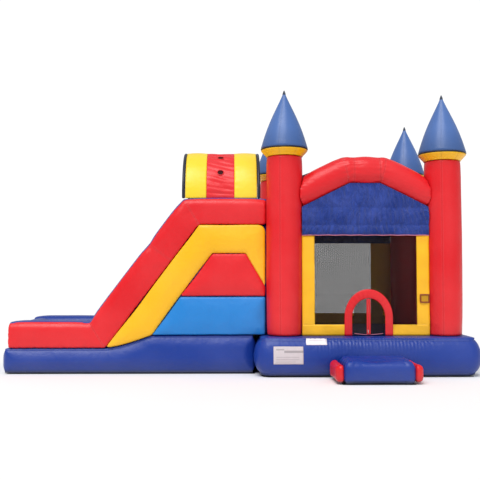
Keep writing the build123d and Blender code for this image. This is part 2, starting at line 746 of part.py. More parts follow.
def climb_handles():
    """Webbing grab loops beside the rungs, standing off the climbing face."""
    made = []
    for z in (1650.0, 2350.0):
        lean = math.degrees(math.atan2(CLIMB_FOOT_X - CLIMB_TOP_X, BED_HIGH_Z - CLIMB_BOTTOM_Z))
        for y in (LANE_FRONT + 45, LANE_REAR - 45):
            outer = block(0.5, 46, -HANDLE_W / 2, HANDLE_W / 2, -90, 90)
            inner = block(-10, 42, -HANDLE_W, HANDLE_W, -70, 70)
            loop = outer - inner
            made.append(Pos(climb_face(z), y, z) * Rot(0, -lean, 0) * loop)
    return made


# ---------------------------------------------------------------- blower sleeve
def blower_sleeve():
    tube = Cylinder(SLEEVE_R + SLEEVE_T, SLEEVE_L) - Cylinder(SLEEVE_R, SLEEVE_L)
    return Pos(SLEEVE_X, BASE_HALF + SEW_GAP + SLEEVE_L / 2, SLEEVE_Z) * (Rot(90, 0, 0) * tube)


def sleeve_strap():
    outer = SLEEVE_R + SLEEVE_T + SEW_GAP / 2
    hoop = Cylinder(outer + STRAP_T, STRAP_W) - Cylinder(outer, STRAP_W)
    y = BASE_HALF + SLEEVE_L - 120
    hoop = Pos(SLEEVE_X, y, SLEEVE_Z) * (Rot(90, 0, 0) * hoop)
    top = SLEEVE_Z + outer + STRAP_T
    buckle = block(SLEEVE_X - 35, SLEEVE_X + 35, y - 30, y + 30, top - 1, top + 14)
    inside = Pos(SLEEVE_X, y, SLEEVE_Z) * (Rot(90, 0, 0) * Cylinder(outer + 1, STRAP_W * 2))
    return hoop + (buckle - inside)


# ---------------------------------------------------------------- anchors
def anchor_frame(spot, outward):
    """A place with +X pointing out of the wall and +Z up, at the ring's bar."""
    angle = math.degrees(math.atan2(outward[1], outward[0]))
    return Pos(spot[0], spot[1], RING_Z) * Rot(0, 0, angle) * Pos(RING_OUT, 0, 0)


def anchor_tab(spot, outward):
    """A webbing tab sewn to the wall, ending in a loop round the ring's bar."""
    plate = block(-RING_OUT + 1, -RING_OUT + 1 + TAB_T, -TAB_W / 2, TAB_W / 2, -2, TAB_TOP - RING_Z)
    loop = Rot(90, 0, 0) * Cylinder(LOOP_R, TAB_W)
    neck = block(-RING_OUT + 1, 0, -TAB_W / 2, TAB_W / 2, 2, LOOP_R)
    bore = Rot(90, 0, 0) * Cylinder(RING_WIRE_R + RING_CLEARANCE, TAB_W + 10)
    return anchor_frame(spot, outward) * ((plate + loop + neck) - bore)


def anchor_ring(spot, outward):
    """A welded D ring that hangs from its tab."""
    bar = Rot(90, 0, 0) * Cylinder(RING_WIRE_R, 2 * RING_R)
    wire = Plane(origin=(0, -RING_R, 0), x_dir=(1, 0, 0), z_dir=(0, 0, 1)) * Circle(RING_WIRE_R)
    bow = revolve(wire, Axis((0, 0, 0), (1, 0, 0)), revolution_arc=180)
    ends = [Pos(0, s * RING_R, 0) * Sphere(RING_WIRE_R) for s in (-1, 1)]
    return anchor_frame(spot, outward) * (bar + bow + ends[0] + ends[1])


# ---------------------------------------------------------------- sewn patches
def label_patches():
    """Plain patches: two on the front of the base and one on the front wall's border."""
    front = -BASE_HALF - SEW_GAP
    large = block(-1686, -1166, front - 3, front, 242, 548)
    tilt = 35.0
    up = math.radians(tilt)
    reach = BASE_EDGE_R + 4
    centre = (
        -933.5,
        -(BASE_HALF - BASE_EDGE_R) - reach * math.cos(up),
        BASE_TOP - BASE_EDGE_R + reach * math.sin(up),
    )
    small = Pos(*centre) * Rot(-tilt, 0, 0) * Box(357, 3, 130)
    border = block(985, 1135, -WALL_AT - 8, -WALL_AT - 5, 1298, 1433)
    return large, small, border


# ---------------------------------------------------------------- write every node
def main():
    os.makedirs("parts", exist_ok=True)
    write("castle_base", castle_base())
    write("internal_baffles", *mattress_baffles(), *ramp_baffles())
    write("wear_sheets", *wear_sheets())
    write("bounce_floor", bounce_floor())
    for name, place in TOWERS.items():
        write(f"tower_{name}", tower(*place))
        write(f"spire_{name}", spire(*place))
    write("tower_collars", *[collar(*place) for place in TOWERS.values()])

    front_arch = arch_front()
    write("arch_front", *front_arch)
    write("arch_rear", *[mirror_to_rear(s) for s in front_arch])
    write("side_beams", *side_beams())

    write("valances", valance_front(), mirror_to_rear(valance_front()), valance_right())
    write("border_front", *border_front())
    write("netting_front", netting_front())
    write("borders_rear_and_sides", *borders_rear_and_sides())
    write("netting_rear_and_side", *netting_rear_and_side())
    write("roof_panels", *roof_panels())

    write("door_frame", door_frame())
    for name, side in (("left", -1), ("right", 1)):
        write(f"door_flap_{name}", door_flap(side))
        write(f"door_tape_{name}", door_tape(side))
    write("door_zip_slider", DOOR_SLIDER_PLACE * slider_with_bridge())
    write("door_pull_tab", DOOR_SLIDER_PLACE * pull_tab())

    write("deflation_zip", *deflation_zip())
    write("deflation_slider", DEFLATION_PLACE * slider_with_bridge())
    write("deflation_pull_tab", DEFLATION_PLACE * pull_tab())
    write("deflation_cover", deflation_cover())

    write("step_body", step_body())
    write("step_ends", step_end(-1), step_end(1))

    write("slide_base", slide_base())
    write("slide_body", slide_body())
    write("rail_front", *[clear_of_towers(s, ("front_left",)) for s in rail(SLIDE_FRONT, LANE_FRONT)])
    write("rail_rear", *rail(LANE_REAR, SLIDE_REAR))
    write("end_bumper", end_bumper())
    write("slide_bed", *slide_bed())
    write("slide_side_bands", *[yellow_band(*side) for side in PANEL_SIDES])
    write("slide_side_red_panels", *[red_panel(*side) for side in PANEL_SIDES])
    write("slide_side_blue_panels", *[blue_panel(*side) for side in PANEL_SIDES])

    write(
        "hood_yellow_panels",
        hood_length(HOOD_LEFT_X, HOOD_RED_LEFT_X - SEW_GAP),
        hood_length(HOOD_RED_RIGHT_X + SEW_GAP, HOOD_RIGHT_X),
    )
    write("hood_red_panel", hood_red())
    write(
        "hood_rims",
        hood_rim(HOOD_LEFT_X - HOOD_RIM_R - SEW_GAP),
        hood_rim(HOOD_RIGHT_X + HOOD_RIM_R + SEW_GAP),
    )

    write("climb_wall", climb_wall())
    write("climb_rungs", *climb_rungs())
    write("climb_handles", *climb_handles())

    write("blower_sleeve", blower_sleeve())
    write("sleeve_strap", sleeve_strap())
    write("anchor_tabs", *[anchor_tab(*place) for place in RINGS.values()])
    for name, place in RINGS.items():
        write(f"anchor_ring_{name}", anchor_ring(*place))
    write("label_patches", *label_patches())


main()
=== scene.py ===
"""Sews and inflates a bounce castle with a side slide around its CAD frame."""
import json
import math

import bmesh
import bpy
from bpy.props import FloatProperty, FloatVectorProperty, IntProperty, PointerProperty
from mathutils import Matrix, Vector, noise
from mathutils.bvhtree import BVHTree
from mathutils.kdtree import KDTree


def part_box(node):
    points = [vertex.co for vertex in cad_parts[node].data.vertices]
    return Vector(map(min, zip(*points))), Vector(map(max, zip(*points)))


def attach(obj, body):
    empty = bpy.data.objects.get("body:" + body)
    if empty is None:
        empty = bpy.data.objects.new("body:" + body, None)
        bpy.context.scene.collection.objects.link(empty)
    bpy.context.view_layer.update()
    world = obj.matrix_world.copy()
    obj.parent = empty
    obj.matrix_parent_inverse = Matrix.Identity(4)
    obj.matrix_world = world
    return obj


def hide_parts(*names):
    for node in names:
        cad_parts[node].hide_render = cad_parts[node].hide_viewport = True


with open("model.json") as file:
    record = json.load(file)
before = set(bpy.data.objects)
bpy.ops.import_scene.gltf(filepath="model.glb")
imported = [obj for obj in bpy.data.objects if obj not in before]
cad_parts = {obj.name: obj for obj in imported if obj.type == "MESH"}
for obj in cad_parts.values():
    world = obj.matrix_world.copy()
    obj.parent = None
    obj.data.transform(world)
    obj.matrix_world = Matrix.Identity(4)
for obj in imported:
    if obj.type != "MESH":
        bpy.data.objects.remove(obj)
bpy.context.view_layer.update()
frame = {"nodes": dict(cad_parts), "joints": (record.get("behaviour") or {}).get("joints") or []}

bl_info = {
    "name": "Bounce Castle",
    "version": (1, 0, 0),
    "blender": (4, 5, 0),
    "location": "View3D > Sidebar > Castle",
    "description": "Sews and inflates a bounce castle with a side slide around its CAD frame",
    "category": "Object",
}

NODES = frame["nodes"]
CORNERS = ("front_left", "front_right", "rear_left", "rear_right")
FRONT, REAR = Vector((0, -1, 0)), Vector((0, 1, 0))
LEFT, RIGHT = Vector((-1, 0, 0)), Vector((1, 0, 0))
UP, DOWN = Vector((0, 0, 1)), Vector((0, 0, -1))
GORE_TURN = 0.31            # turns the gores so that no seam faces straight ahead
FLAT_NEAR = 0.11            # a chamber stays flat this near to a fitting
FLAT_FADE = 0.14            # and swells fully after this much more
TOP_SHARE = 0.15            # how much of the swell is left on top and below


def low(node):
    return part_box(node)[0]


def high(node):
    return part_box(node)[1]


def shade(red, green, blue):
    """A linear colour from the 0 to 255 values of a swatch card."""
    return tuple(
        (c / 255 / 12.92) if c < 11 else ((c / 255 + 0.055) / 1.055) ** 2.4
        for c in (red, green, blue)
    )


# ---------------------------------------------------------------- what a user may change
def colour(name, description, default):
    return FloatVectorProperty(
        name=name, description=description, subtype="COLOR", size=3, min=0.0, max=1.0, default=default
    )


def length(name, description, default):
    return FloatProperty(name=name, description=description, default=default, min=0.0, unit="LENGTH")


class CastleColours(bpy.types.PropertyGroup):
    """Colours of the vinyl, netting and trim."""

    red: colour("Red", "Towers, arches, rails and steps' ends", shade(224, 12, 26))
    royal: colour("Royal blue", "Bases, step, valances and slide bed", shade(4, 52, 146))
    spire: colour("Spire blue", "Tower spires", shade(72, 108, 172))
    sky: colour("Sky blue", "Low side panels of the slide", shade(24, 128, 208))
    yellow: colour("Yellow", "Borders, collars and slide bands", shade(250, 188, 14))
    canopy: colour("Canopy yellow", "Outer panels of the hood", shade(250, 214, 40))
    navy: colour("Navy", "Hood rims and spire bindings", shade(20, 28, 50))
    netting: colour("Netting", "Safety netting threads", shade(14, 7, 9))
    webbing: colour("Webbing", "Straps and tabs", shade(30, 32, 38))
    ground_sheet: colour("Ground sheet", "Wear sheets under the castle", shade(104, 108, 116))
    binding: colour("Binding", "Edge binding of the valance and the doorway", shade(206, 120, 142))
    label: colour("Label", "Plain sewn patches", shade(206, 196, 200))


class CastleSizes(bpy.types.PropertyGroup):
    """Sizes of the sewing and the swelling of the chambers."""

    base_cell: length("Base cell", "Mesh size of the big chambers", 0.034)
    rail_cell: length("Rail cell", "Mesh size of rails and panels", 0.022)
    fine_cell: length("Fine cell", "Mesh size of small chambers", 0.014)
    crown: length("Crown", "How far a panel swells between its seams", 0.03)
    gather: length("Gather", "Depth of the puckers beside a seam", 0.012)
    pitch: length("Pitch", "Spacing of the puckers beside a seam", 0.11)
    vinyl: length("Vinyl", "Thickness of a sewn sheet", 0.002)
    gores: IntProperty(name="Gores", description="Panels sewn round a tower", default=4, min=3)


class CastleStudio(bpy.types.PropertyGroup):
    """Camera, lights and floor."""

    lens: FloatProperty(name="Lens", description="Focal length", default=55.33, min=10.0, unit="CAMERA")
    eye: FloatVectorProperty(
        name="Eye", description="Where the camera stands", default=(-2.4263, -14.8693, 1.7631), unit="LENGTH"
    )
    tilt: FloatProperty(name="Tilt", description="Upward tilt", default=0.0492, unit="ROTATION")
    turn: FloatProperty(name="Turn", description="Turn to the right", default=0.0123, unit="ROTATION")
    floor: FloatProperty(name="Floor", description="Brightness of the floor", default=0.93, min=0.0, max=1.0)
    key: FloatProperty(name="Key", description="Strength of the main light", default=2.2, min=0.0)
    soft: FloatProperty(name="Soft", description="Light from all round", default=0.5, min=0.0)


# ---------------------------------------------------------------- finishes
class Recipe:
    """A material under construction, with short calls for its nodes."""

    def __init__(self, name, roughness, coat=0.0, sheen=0.0):
        self.material = bpy.data.materials.new(name)
        self.material.use_nodes = True
        self.tree = self.material.node_tree
        self.shader = self.tree.nodes["Principled BSDF"]
        self.shader.inputs["Roughness"].default_value = roughness
        self.shader.inputs["Coat Weight"].default_value = coat
        self.shader.inputs["Coat Roughness"].default_value = 0.3
        self.shader.inputs["Specular IOR Level"].default_value = 0.32
        self.shader.inputs["Sheen Weight"].default_value = sheen
        self.place = self.add("ShaderNodeTexCoord").outputs["Object"]

    def add(self, kind, **settings):
        node = self.tree.nodes.new(kind)
        for key, value in settings.items():
            setattr(node, key, value)
        return node

    def feed(self, socket, value):
        if isinstance(value, bpy.types.NodeSocket):
            self.tree.links.new(value, socket)
        else:
            socket.default_value = value

    def math(self, operation, first, second=0.0, third=0.0):
        node = self.add("ShaderNodeMath", operation=operation)
        for socket, value in zip(node.inputs, (first, second, third)):
            self.feed(socket, value)
        return node.outputs[0]

    def ramp(self, value, start, end, to_start=0.0, to_end=1.0):
        node = self.add("ShaderNodeMapRange")
        for socket, number in zip(node.inputs, (value, start, end, to_start, to_end)):
            self.feed(socket, number)
        return node.outputs[0]

    def clouds(self, scale, detail=3.0, rough=0.5, distortion=0.0, stretch=None):
        place = self.place
        if stretch:
            mapping = self.add("ShaderNodeMapping")
            mapping.inputs["Scale"].default_value = stretch
            self.feed(mapping.inputs["Vector"], place)
            place = mapping.outputs[0]
        node = self.add("ShaderNodeTexNoise")
        settings = {"Scale": scale, "Detail": detail, "Roughness": rough, "Distortion": distortion}
        for key, value in settings.items():
            node.inputs[key].default_value = value
        self.feed(node.inputs["Vector"], place)
        return node.outputs["Fac"]

    def mix(self, amount, first, second):
        node = self.add("ShaderNodeMix", data_type="RGBA")
        for socket, value in zip((node.inputs[0], node.inputs[6], node.inputs[7]), (amount, first, second)):
            self.feed(socket, value)
        return node.outputs[2]

    def bump(self, height, distance, strength=1.0, under=None):
        node = self.add("ShaderNodeBump")
        node.inputs["Strength"].default_value = strength
        node.inputs["Distance"].default_value = distance
        self.feed(node.inputs["Height"], height)
        if under is not None:
            self.feed(node.inputs["Normal"], under)
        return node.outputs[0]

    def measure(self, name):
        return self.add("ShaderNodeAttribute", attribute_name=name).outputs["Fac"]

    def axes(self):
        node = self.add("ShaderNodeSeparateXYZ")
        self.feed(node.inputs[0], self.place)
        return node.outputs

    def threads(self, spacing, share):
        """1 on the threads of a square net and 0 in its holes."""
        x, y, z = self.axes()
        across = self.math("PINGPONG", self.math("ADD", x, y), spacing / 2)
        upward = self.math("PINGPONG", z, spacing / 2)
        half = spacing * share / 2
        return self.math("MAXIMUM", *[self.math("LESS_THAN", run, half) for run in (across, upward)])

    def done(self, base, normal=None, roughness=None, alpha=None):
        self.feed(self.shader.inputs["Base Color"], base)
        if normal is not None:
            self.feed(self.shader.inputs["Normal"], normal)
        if roughness is not None:
            self.feed(self.shader.inputs["Roughness"], roughness)
        if alpha is not None:
            self.feed(self.shader.inputs["Alpha"], alpha)
        return self.material


def tinted(base, factor, white=0.0):
    return (*[min(1.0, c * factor * (1 - white) + white) for c in base], 1.0)


def vinyl(name, base, ripple=0.006, stitched=True, painted_shade_heights=None):
    """Coated vinyl: faded patches, ground dust, a painted contact shadow along the foot, painted shade low on a
    piece when asked, creases, scrim under the coating and stitched seams with painted shade beside them.
    """
    mix = Recipe(name, roughness=0.38, coat=0.1)
    z = mix.axes()[2]
    faded = mix.ramp(mix.clouds(0.8, 3.0), 0.35, 0.7, 0.0, 0.55)
    tone = mix.mix(faded, tinted(base, 0.94), tinted(base, 1.06, 0.035))
    smudge = mix.ramp(mix.clouds(4.5, 7.0, 0.62), 0.55, 0.8, 0.0, 0.28)
    tone = mix.mix(smudge, tone, tinted(base, 0.74, 0.02))
    scuff = mix.ramp(mix.clouds(9.0, 5.0, 0.7, 0.0, (1.0, 1.0, 4.0)), 0.63, 0.78, 0.0, 0.2)
    tone = mix.mix(scuff, tone, tinted(base, 0.95, 0.14))
    dust = mix.math("MULTIPLY", mix.ramp(z, 0.0, 0.3, 0.5, 0.0), mix.clouds(6.0, 6.0, 0.7))
    tone = mix.mix(dust, tone, (0.1, 0.1, 0.11, 1.0))
    # painted contact shadow: a dark grey band along the bottom 30 to 75 mm of every vinyl piece
    foot = mix.ramp(z, 0.03, 0.075, 0.85, 0.0)
    tone = mix.mix(foot, tone, (0.045, 0.05, 0.058, 1.0))
    weave = mix.threads(0.004, 0.4)
    creases = mix.clouds(3.2, 5.0, 0.55, 0.7)
    normal = mix.bump(creases, ripple * 3)
    normal = mix.bump(mix.clouds(16.0, 3.0, 0.5, 1.2), ripple / 2, 0.7, normal)
    normal = mix.bump(weave, 0.0002, 0.4, normal)
    if stitched:
        gap, run = mix.measure("seam_gap"), mix.measure("seam_run")
        shadow = mix.ramp(gap, 0.003, 0.02, 0.3, 0.0)
        tone = mix.mix(shadow, tone, tinted(base, 0.5))
        off_row = mix.math("ABSOLUTE", mix.math("SUBTRACT", gap, 0.016))
        on_row = mix.math("LESS_THAN", off_row, 0.0014)
        in_run = mix.math("LESS_THAN", mix.math("PINGPONG", run, 0.005), 0.0034)
        stitch = mix.math("MULTIPLY", mix.math("MULTIPLY", on_row, in_run), 0.3)
        tone = mix.mix(stitch, tone, tinted(base, 0.8, 0.25))
        normal = mix.bump(stitch, 0.0012, 0.8, normal)
    # painted shade: the colour darkens towards the lower of the two heights
    if painted_shade_heights:
        tone = mix.mix(mix.ramp(z, painted_shade_heights[0], painted_shade_heights[1], 0.75, 0.0), tone, tinted(base, 0.5))
    gloss = mix.ramp(mix.clouds(5.0, 5.0, 0.6), 0.3, 0.75, 0.3, 0.46)
    return mix.done(tone, normal, gloss)


def valance_cloth(name, base):
    """Matt coated nylon, crinkled all over."""
    mix = Recipe(name, roughness=0.6, sheen=0.15)
    faded = mix.ramp(mix.clouds(3.0, 6.0, 0.6), 0.35, 0.75, 0.0, 0.7)
    tone = mix.mix(faded, tinted(base, 0.85), tinted(base, 1.5, 0.05))
    normal = mix.bump(mix.clouds(7.0, 5.0, 0.6, 1.4, (1.7, 1.7, 0.55)), 0.09)
    normal = mix.bump(mix.clouds(30.0, 3.0, 0.5, 0.8), 0.005, 0.7, normal)
    return mix.done(tone, mix.bump(mix.threads(0.003, 0.4), 0.0002, 0.4, normal))


def sheet_vinyl(name, base):
    """The same vinyl where it hangs as a single sheet, without chamber seams."""
    return vinyl(name, base, ripple=0.004, stitched=False)


def netting(name, base, spacing, share, between=0.36):
    """Open woven netting: dark threads over fine see-through mesh."""
    mix = Recipe(name, roughness=0.8)
    solid = mix.ramp(mix.threads(spacing, share), 0.0, 1.0, between, 0.88)
    tone = mix.mix(mix.clouds(3.0, 3.0), tinted(base, 0.8), tinted(base, 1.3))
    return mix.done(tone, mix.bump(mix.threads(spacing, share / 2), spacing / 12), alpha=solid)


def webbing(name, base):
    """Woven strap: cross ribs, worn pale fibres and a matt finish."""
    mix = Recipe(name, roughness=0.78, sheen=0.3)
    x, y, z = mix.axes()
    ribs = mix.math("PINGPONG", mix.math("ADD", z, mix.math("MULTIPLY", mix.math("ADD", x, y), 0.5)), 0.0015)
    fibre = mix.ramp(mix.clouds(90.0, 4.0, 0.7), 0.5, 0.8, 0.0, 0.5)
    tone = mix.mix(fibre, tinted(base, 0.8), tinted(base, 1.6, 0.06))
    return mix.done(tone, mix.bump(mix.math("MULTIPLY", ribs, 600.0), 0.0008))


def metal(name, base, rough):
    """Plated metal with fine drawn lines, dull patches and uneven gloss."""
    mix = Recipe(name, roughness=rough)
    mix.shader.inputs["Metallic"].default_value = 1.0
    dull = mix.ramp(mix.clouds(60.0, 6.0, 0.7), 0.4, 0.75, 0.0, 0.6)
    tone = mix.mix(dull, tinted(base, 1.0), tinted(base, 0.6))
    lines = mix.clouds(400.0, 2.0, 0.5, 0.0, (1.0, 1.0, 0.08))
    gloss = mix.ramp(mix.clouds(35.0, 5.0), 0.3, 0.8, rough * 0.7, rough * 1.5)
    return mix.done(tone, mix.bump(lines, 0.0002, 0.6), gloss)


def plain_label(name, base, bars):
    """A printed patch with soft grey bars in place of words."""
    mix = Recipe(name, roughness=0.5, coat=0.1)
    x, _, z = mix.axes()
    worn = mix.ramp(mix.clouds(14.0, 5.0, 0.6), 0.4, 0.8, 0.0, 0.35)
    tone = mix.mix(worn, tinted(base, 1.0), tinted(base, 0.78))
    for height, thickness, start, end, depth in bars:
        within = mix.math("LESS_THAN", mix.math("ABSOLUTE", mix.math("SUBTRACT", z, height)), thickness)
        after = mix.math("GREATER_THAN", x, start)
        before = mix.math("LESS_THAN", x, end)
        left, right = mix.math("MULTIPLY", within, after), mix.math("MULTIPLY", before, depth)
        bar = mix.math("MULTIPLY", left, right)
        tone = mix.mix(bar, tone, tinted(base, 0.45))
    return mix.done(tone, mix.bump(mix.clouds(22.0, 4.0), 0.002))


def matt_floor(name, value):
    mix = Recipe(name, roughness=0.9)
    tone = mix.mix(mix.clouds(0.4, 2.0), (*[value] * 3, 1.0), (*[value * 0.985] * 3, 1.0))
    return mix.done(tone, mix.bump(mix.clouds(2.0, 4.0), 0.002))


FINISHES = {}


def finish_named(name):
    """Each finish is made once, when a piece first asks for it."""
    if name not in FINISHES:
        shades = bpy.context.scene.castle_colours
        makers = {
            "red vinyl": lambda: vinyl("red_vinyl", shades.red),
            "royal vinyl": lambda: vinyl("royal_blue_vinyl", shades.royal),
            "royal sheet": lambda: sheet_vinyl("royal_blue_sheet", shades.royal),
            # painted shade on the spires, darker towards their feet between these heights
            "spire vinyl": lambda: vinyl("spire_blue_vinyl", shades.spire, 0.003, painted_shade_heights=(3.98, 4.45)),
            "valance cloth": lambda: valance_cloth("valance_nylon", shades.royal),
            "patch trim": lambda: sheet_vinyl("patch_trim", shade(140, 62, 20)),
            "spire tip": lambda: webbing("spire_tip_webbing", shade(66, 76, 92)),
            "sky vinyl": lambda: vinyl("sky_blue_vinyl", shades.sky),
            "yellow vinyl": lambda: vinyl("yellow_vinyl", shades.yellow),
            "yellow sheet": lambda: sheet_vinyl("yellow_sheet", shades.yellow),
            "canopy yellow": lambda: sheet_vinyl("canopy_yellow_sheet", shades.canopy),
            "red sheet": lambda: sheet_vinyl("red_sheet", shades.red),
            "navy trim": lambda: sheet_vinyl("navy_trim_vinyl", shades.navy),
            "netting": lambda: netting("safety_netting", shades.netting, 0.008, 0.16, 0.17),
            "door netting": lambda: netting("door_netting", shades.netting, 0.008, 0.24, 0.3),
            # vent screens: real netting, made near black and near opaque as painted shade inside the vent holes
            "vent netting and painted shade": lambda: netting(
                "vent_netting_and_painted_shade", tuple(c * 0.06 for c in shades.red), 0.004, 0.9, 0.9
            ),
            "webbing": lambda: webbing("black_webbing", shades.webbing),
            "ground sheet": lambda: sheet_vinyl("ground_sheet_vinyl", shades.ground_sheet),
            "binding": lambda: sheet_vinyl("pink_binding", shades.binding),
            "white sheet": lambda: sheet_vinyl("baffle_cloth", (0.7, 0.68, 0.64)),
            "zip metal": lambda: metal("zip_metal", (0.62, 0.62, 0.6), 0.35),
            "ring steel": lambda: metal("ring_steel", (0.5, 0.51, 0.53), 0.4),
        }
        FINISHES[name] = makers[name]()
    return FINISHES[name]


# ---------------------------------------------------------------- meshes
def wave(run, pitch, seed=0.0):
    """Uneven rounded folds: 1 on the crest of a fold and 0 in its crease."""
    wander = 0.45 * noise.noise(Vector((run * 1.6, seed, 3.1)))
    swing = 0.6 + 0.4 * noise.noise(Vector((run * 4.3, 8.7, seed)))
    return 1.0 - (1.0 - abs(math.sin(math.pi * (run / pitch + wander)))) * swing


def islands(shape):
    """The separate connected lumps of a mesh, as lists of vertices."""
    left = set(shape.verts)
    found = []
    for start in shape.verts[:]:
        if start not in left:
            continue
        left.discard(start)
        lump = [start]
        for vert in lump:
            for edge in vert.link_edges:
                other = edge.other_vert(vert)
                if other in left:
                    left.discard(other)
                    lump.append(other)
        found.append(lump)
    return found


def extent(verts):
    xs, ys, zs = zip(*[v.co for v in verts])
    return Vector((min(xs), min(ys), min(zs))), Vector((max(xs), max(ys), max(zs)))


def outer_skins(*nodes):
    """A merged copy of CAD nodes without the inner walls of hollow chambers."""
    shape = bmesh.new()
    for node in nodes:
        shape.from_mesh(NODES[node].data)
    bmesh.ops.remove_doubles(shape, verts=shape.verts, dist=1e-5)
    lumps = [(lump, *extent(lump)) for lump in islands(shape)]
    inner = []
    for lump, small, large in lumps:
        for _, other_small, other_large in lumps:
            if all(
                other_small[k] < small[k] - 1e-4 and large[k] + 1e-4 < other_large[k] for k in range(3)
            ):
                inner.extend(lump)
                break
    bmesh.ops.delete(shape, geom=inner, context="VERTS")
    return shape


class Seams:
    """Where panels are sewn: the sharp edges of the CAD shape, with planes of extra seams."""

    def __init__(self, shape, planes=(), sharp=0.6, step=0.02):
        self.samples = []
        for edge in shape.edges:
            if len(edge.link_faces) == 2 and edge.calc_face_angle(0.0) > sharp:
                start, end = (v.co.copy() for v in edge.verts)
                count = max(1, int((end - start).length / step))
                along = (end - start).normalized()
                self.samples += [(start.lerp(end, k / count), along) for k in range(count + 1)]
        self.tree = KDTree(max(1, len(self.samples)))
        for k, (point, _) in enumerate(self.samples):
            self.tree.insert(point, k)
        self.tree.balance()
        self.planes = [(Vector(p), Vector(n).normalized()) for p, n in planes]

    def nearest(self, place):
        """How far the nearest seam is, and how far along it this place lies."""
        gap, run = 10.0, place.x + place.y
        if self.samples:
            _, k, gap = self.tree.find(place)
            run = place.dot(self.samples[k][1])
        for point, normal in self.planes:
            off = abs((place - point).dot(normal))
            if off < gap:
                level = abs(normal.z) > 0.7
                gap, run = off, (place.x if level else place.z) + place.y
        return gap, run


def remeshed(shape, cell):
    """An even quad skin round a shape."""
    mesh = bpy.data.meshes.new("blank")
    shape.to_mesh(mesh)
    shape.free()
    blank = bpy.data.objects.new("blank", mesh)
    bpy.context.scene.collection.objects.link(blank)
    modifier = blank.modifiers.new("Remesh", "REMESH")
    modifier.mode = "VOXEL"
    modifier.voxel_size = cell
    graph = bpy.context.evaluated_depsgraph_get()
    skin = bpy.data.meshes.new_from_object(blank.evaluated_get(graph))
    bpy.data.objects.remove(blank)
    made = bmesh.new()
    made.from_mesh(skin)
    bpy.data.meshes.remove(skin)
    return made


def inflated(shape, cap, pressure=4.0):
    """Blows a skin up as cloth, and lets no point move further than the cap."""
    mesh = bpy.data.meshes.new("skin")
    shape.to_mesh(mesh)
    skin = bpy.data.objects.new("skin", mesh)
    scene = bpy.context.scene
    scene.collection.objects.link(skin)
    cloth = skin.modifiers.new("Cloth", "CLOTH")
    cloth.settings.quality = 4
    cloth.settings.mass = 0.4
    cloth.settings.tension_stiffness = 15
    cloth.settings.compression_stiffness = 15
    cloth.settings.bending_stiffness = 0.5
    cloth.settings.use_pressure = True
    cloth.settings.uniform_pressure_force = pressure
    cloth.settings.effector_weights.gravity = 0.0
    cloth.point_cache.frame_start, cloth.point_cache.frame_end = 1, 20
    for step in range(1, 21):
        scene.frame_set(step)
    blown = skin.evaluated_get(bpy.context.evaluated_depsgraph_get()).data
    shape.verts.ensure_lookup_table()
    foot = min(vert.co.z for vert in shape.verts)
    for vert, target in zip(shape.verts, blown.vertices):
        move = target.co - vert.co
        if move.length > cap:
            move *= cap / move.length
        vert.co += move
        vert.co.z = max(vert.co.z, foot)
    bpy.data.objects.remove(skin)
    bpy.data.meshes.remove(mesh)
    scene.frame_set(1)
    return shape


def soften(shape, rounds, factor=0.5):
    for _ in range(rounds):
        bmesh.ops.smooth_vert(
            shape, verts=shape.verts, factor=factor, use_axis_x=True, use_axis_y=True, use_axis_z=True
        )


def puff(shape, seams, crown, sink, reach, gather, pitch, keep=None):
    """Swells a skin between its seams and puckers it beside them."""
    gap_layer = shape.verts.layers.float.new("seam_gap")
    run_layer = shape.verts.layers.float.new("seam_run")
    shape.normal_update()
    moves = []
    for vert in shape.verts:
        gap, run = seams.nearest(vert.co)
        vert[gap_layer], vert[run_layer] = gap, run
        edge = math.exp(-((gap / reach) ** 2))
        pucker = gather * math.exp(-gap / (0.9 * pitch)) * (1.0 - wave(run, pitch))
        lumps = 0.25 * crown * noise.noise(vert.co * 2.1)
        share = keep(vert) if keep else 1.0
        moves.append(vert.normal * ((crown * (1 - edge) - sink * edge - pucker + lumps) * share))
    foot = min(vert.co.z for vert in shape.verts)
    for vert, move in zip(shape.verts, moves):
        vert.co += move
        vert.co.z = max(vert.co.z, foot)


def piece(name, shape, finishes, body="castle", smooth=True):
    """Turns a bmesh into a finished object that moves with a body."""
    mesh = bpy.data.meshes.new(name)
    if not shape.faces:
        raise RuntimeError(f"{name} came out empty")
    shape.to_mesh(mesh)
    shape.free()
    for polygon in mesh.polygons:
        polygon.use_smooth = smooth
    for key in finishes:
        mesh.materials.append(finish_named(key))
    made = bpy.data.objects.new(name, mesh)
    bpy.context.scene.collection.objects.link(made)
    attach(made, body)
    return made


def chamber(name, nodes, finishes, cell, planes=(), rounds=5, crown=None, sink=0.0, reach=0.12,
            gather=None, pitch=None, keep=None, split=None, body="castle", blow=0.0):
    """An inflated chamber sewn over the outer shape of some CAD nodes."""
    sizes = bpy.context.scene.castle_sizes
    shape = outer_skins(*nodes)
    seams = Seams(shape, planes)
    shape = remeshed(shape, cell)
    soften(shape, rounds)
    if blow:
        inflated(shape, blow)
    puff(
        shape, seams, sizes.crown if crown is None else crown, sink, reach,
        sizes.gather if gather is None else gather, pitch or sizes.pitch, keep,
    )
    if split:
        for face in shape.faces:
            face.material_index = split(face.calc_center_median())
    made = piece(name, shape, finishes, body)
    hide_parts(*nodes)
    return made


def lattice(shape, axes, cell):
    """Cuts flat panels into cells fine enough to billow."""
    small, large = extent(shape.verts)
    for axis in axes:
        count = int((large[axis] - small[axis]) / cell)
        normal = Vector([1.0 if k == axis else 0.0 for k in range(3)])
        for k in range(1, count + 1):
            cut = small.copy()
            cut[axis] += (large[axis] - small[axis]) * k / (count + 1)
            bmesh.ops.bisect_plane(
                shape, geom=shape.verts[:] + shape.edges[:] + shape.faces[:], dist=1e-6, plane_co=cut,
                plane_no=normal,
            )


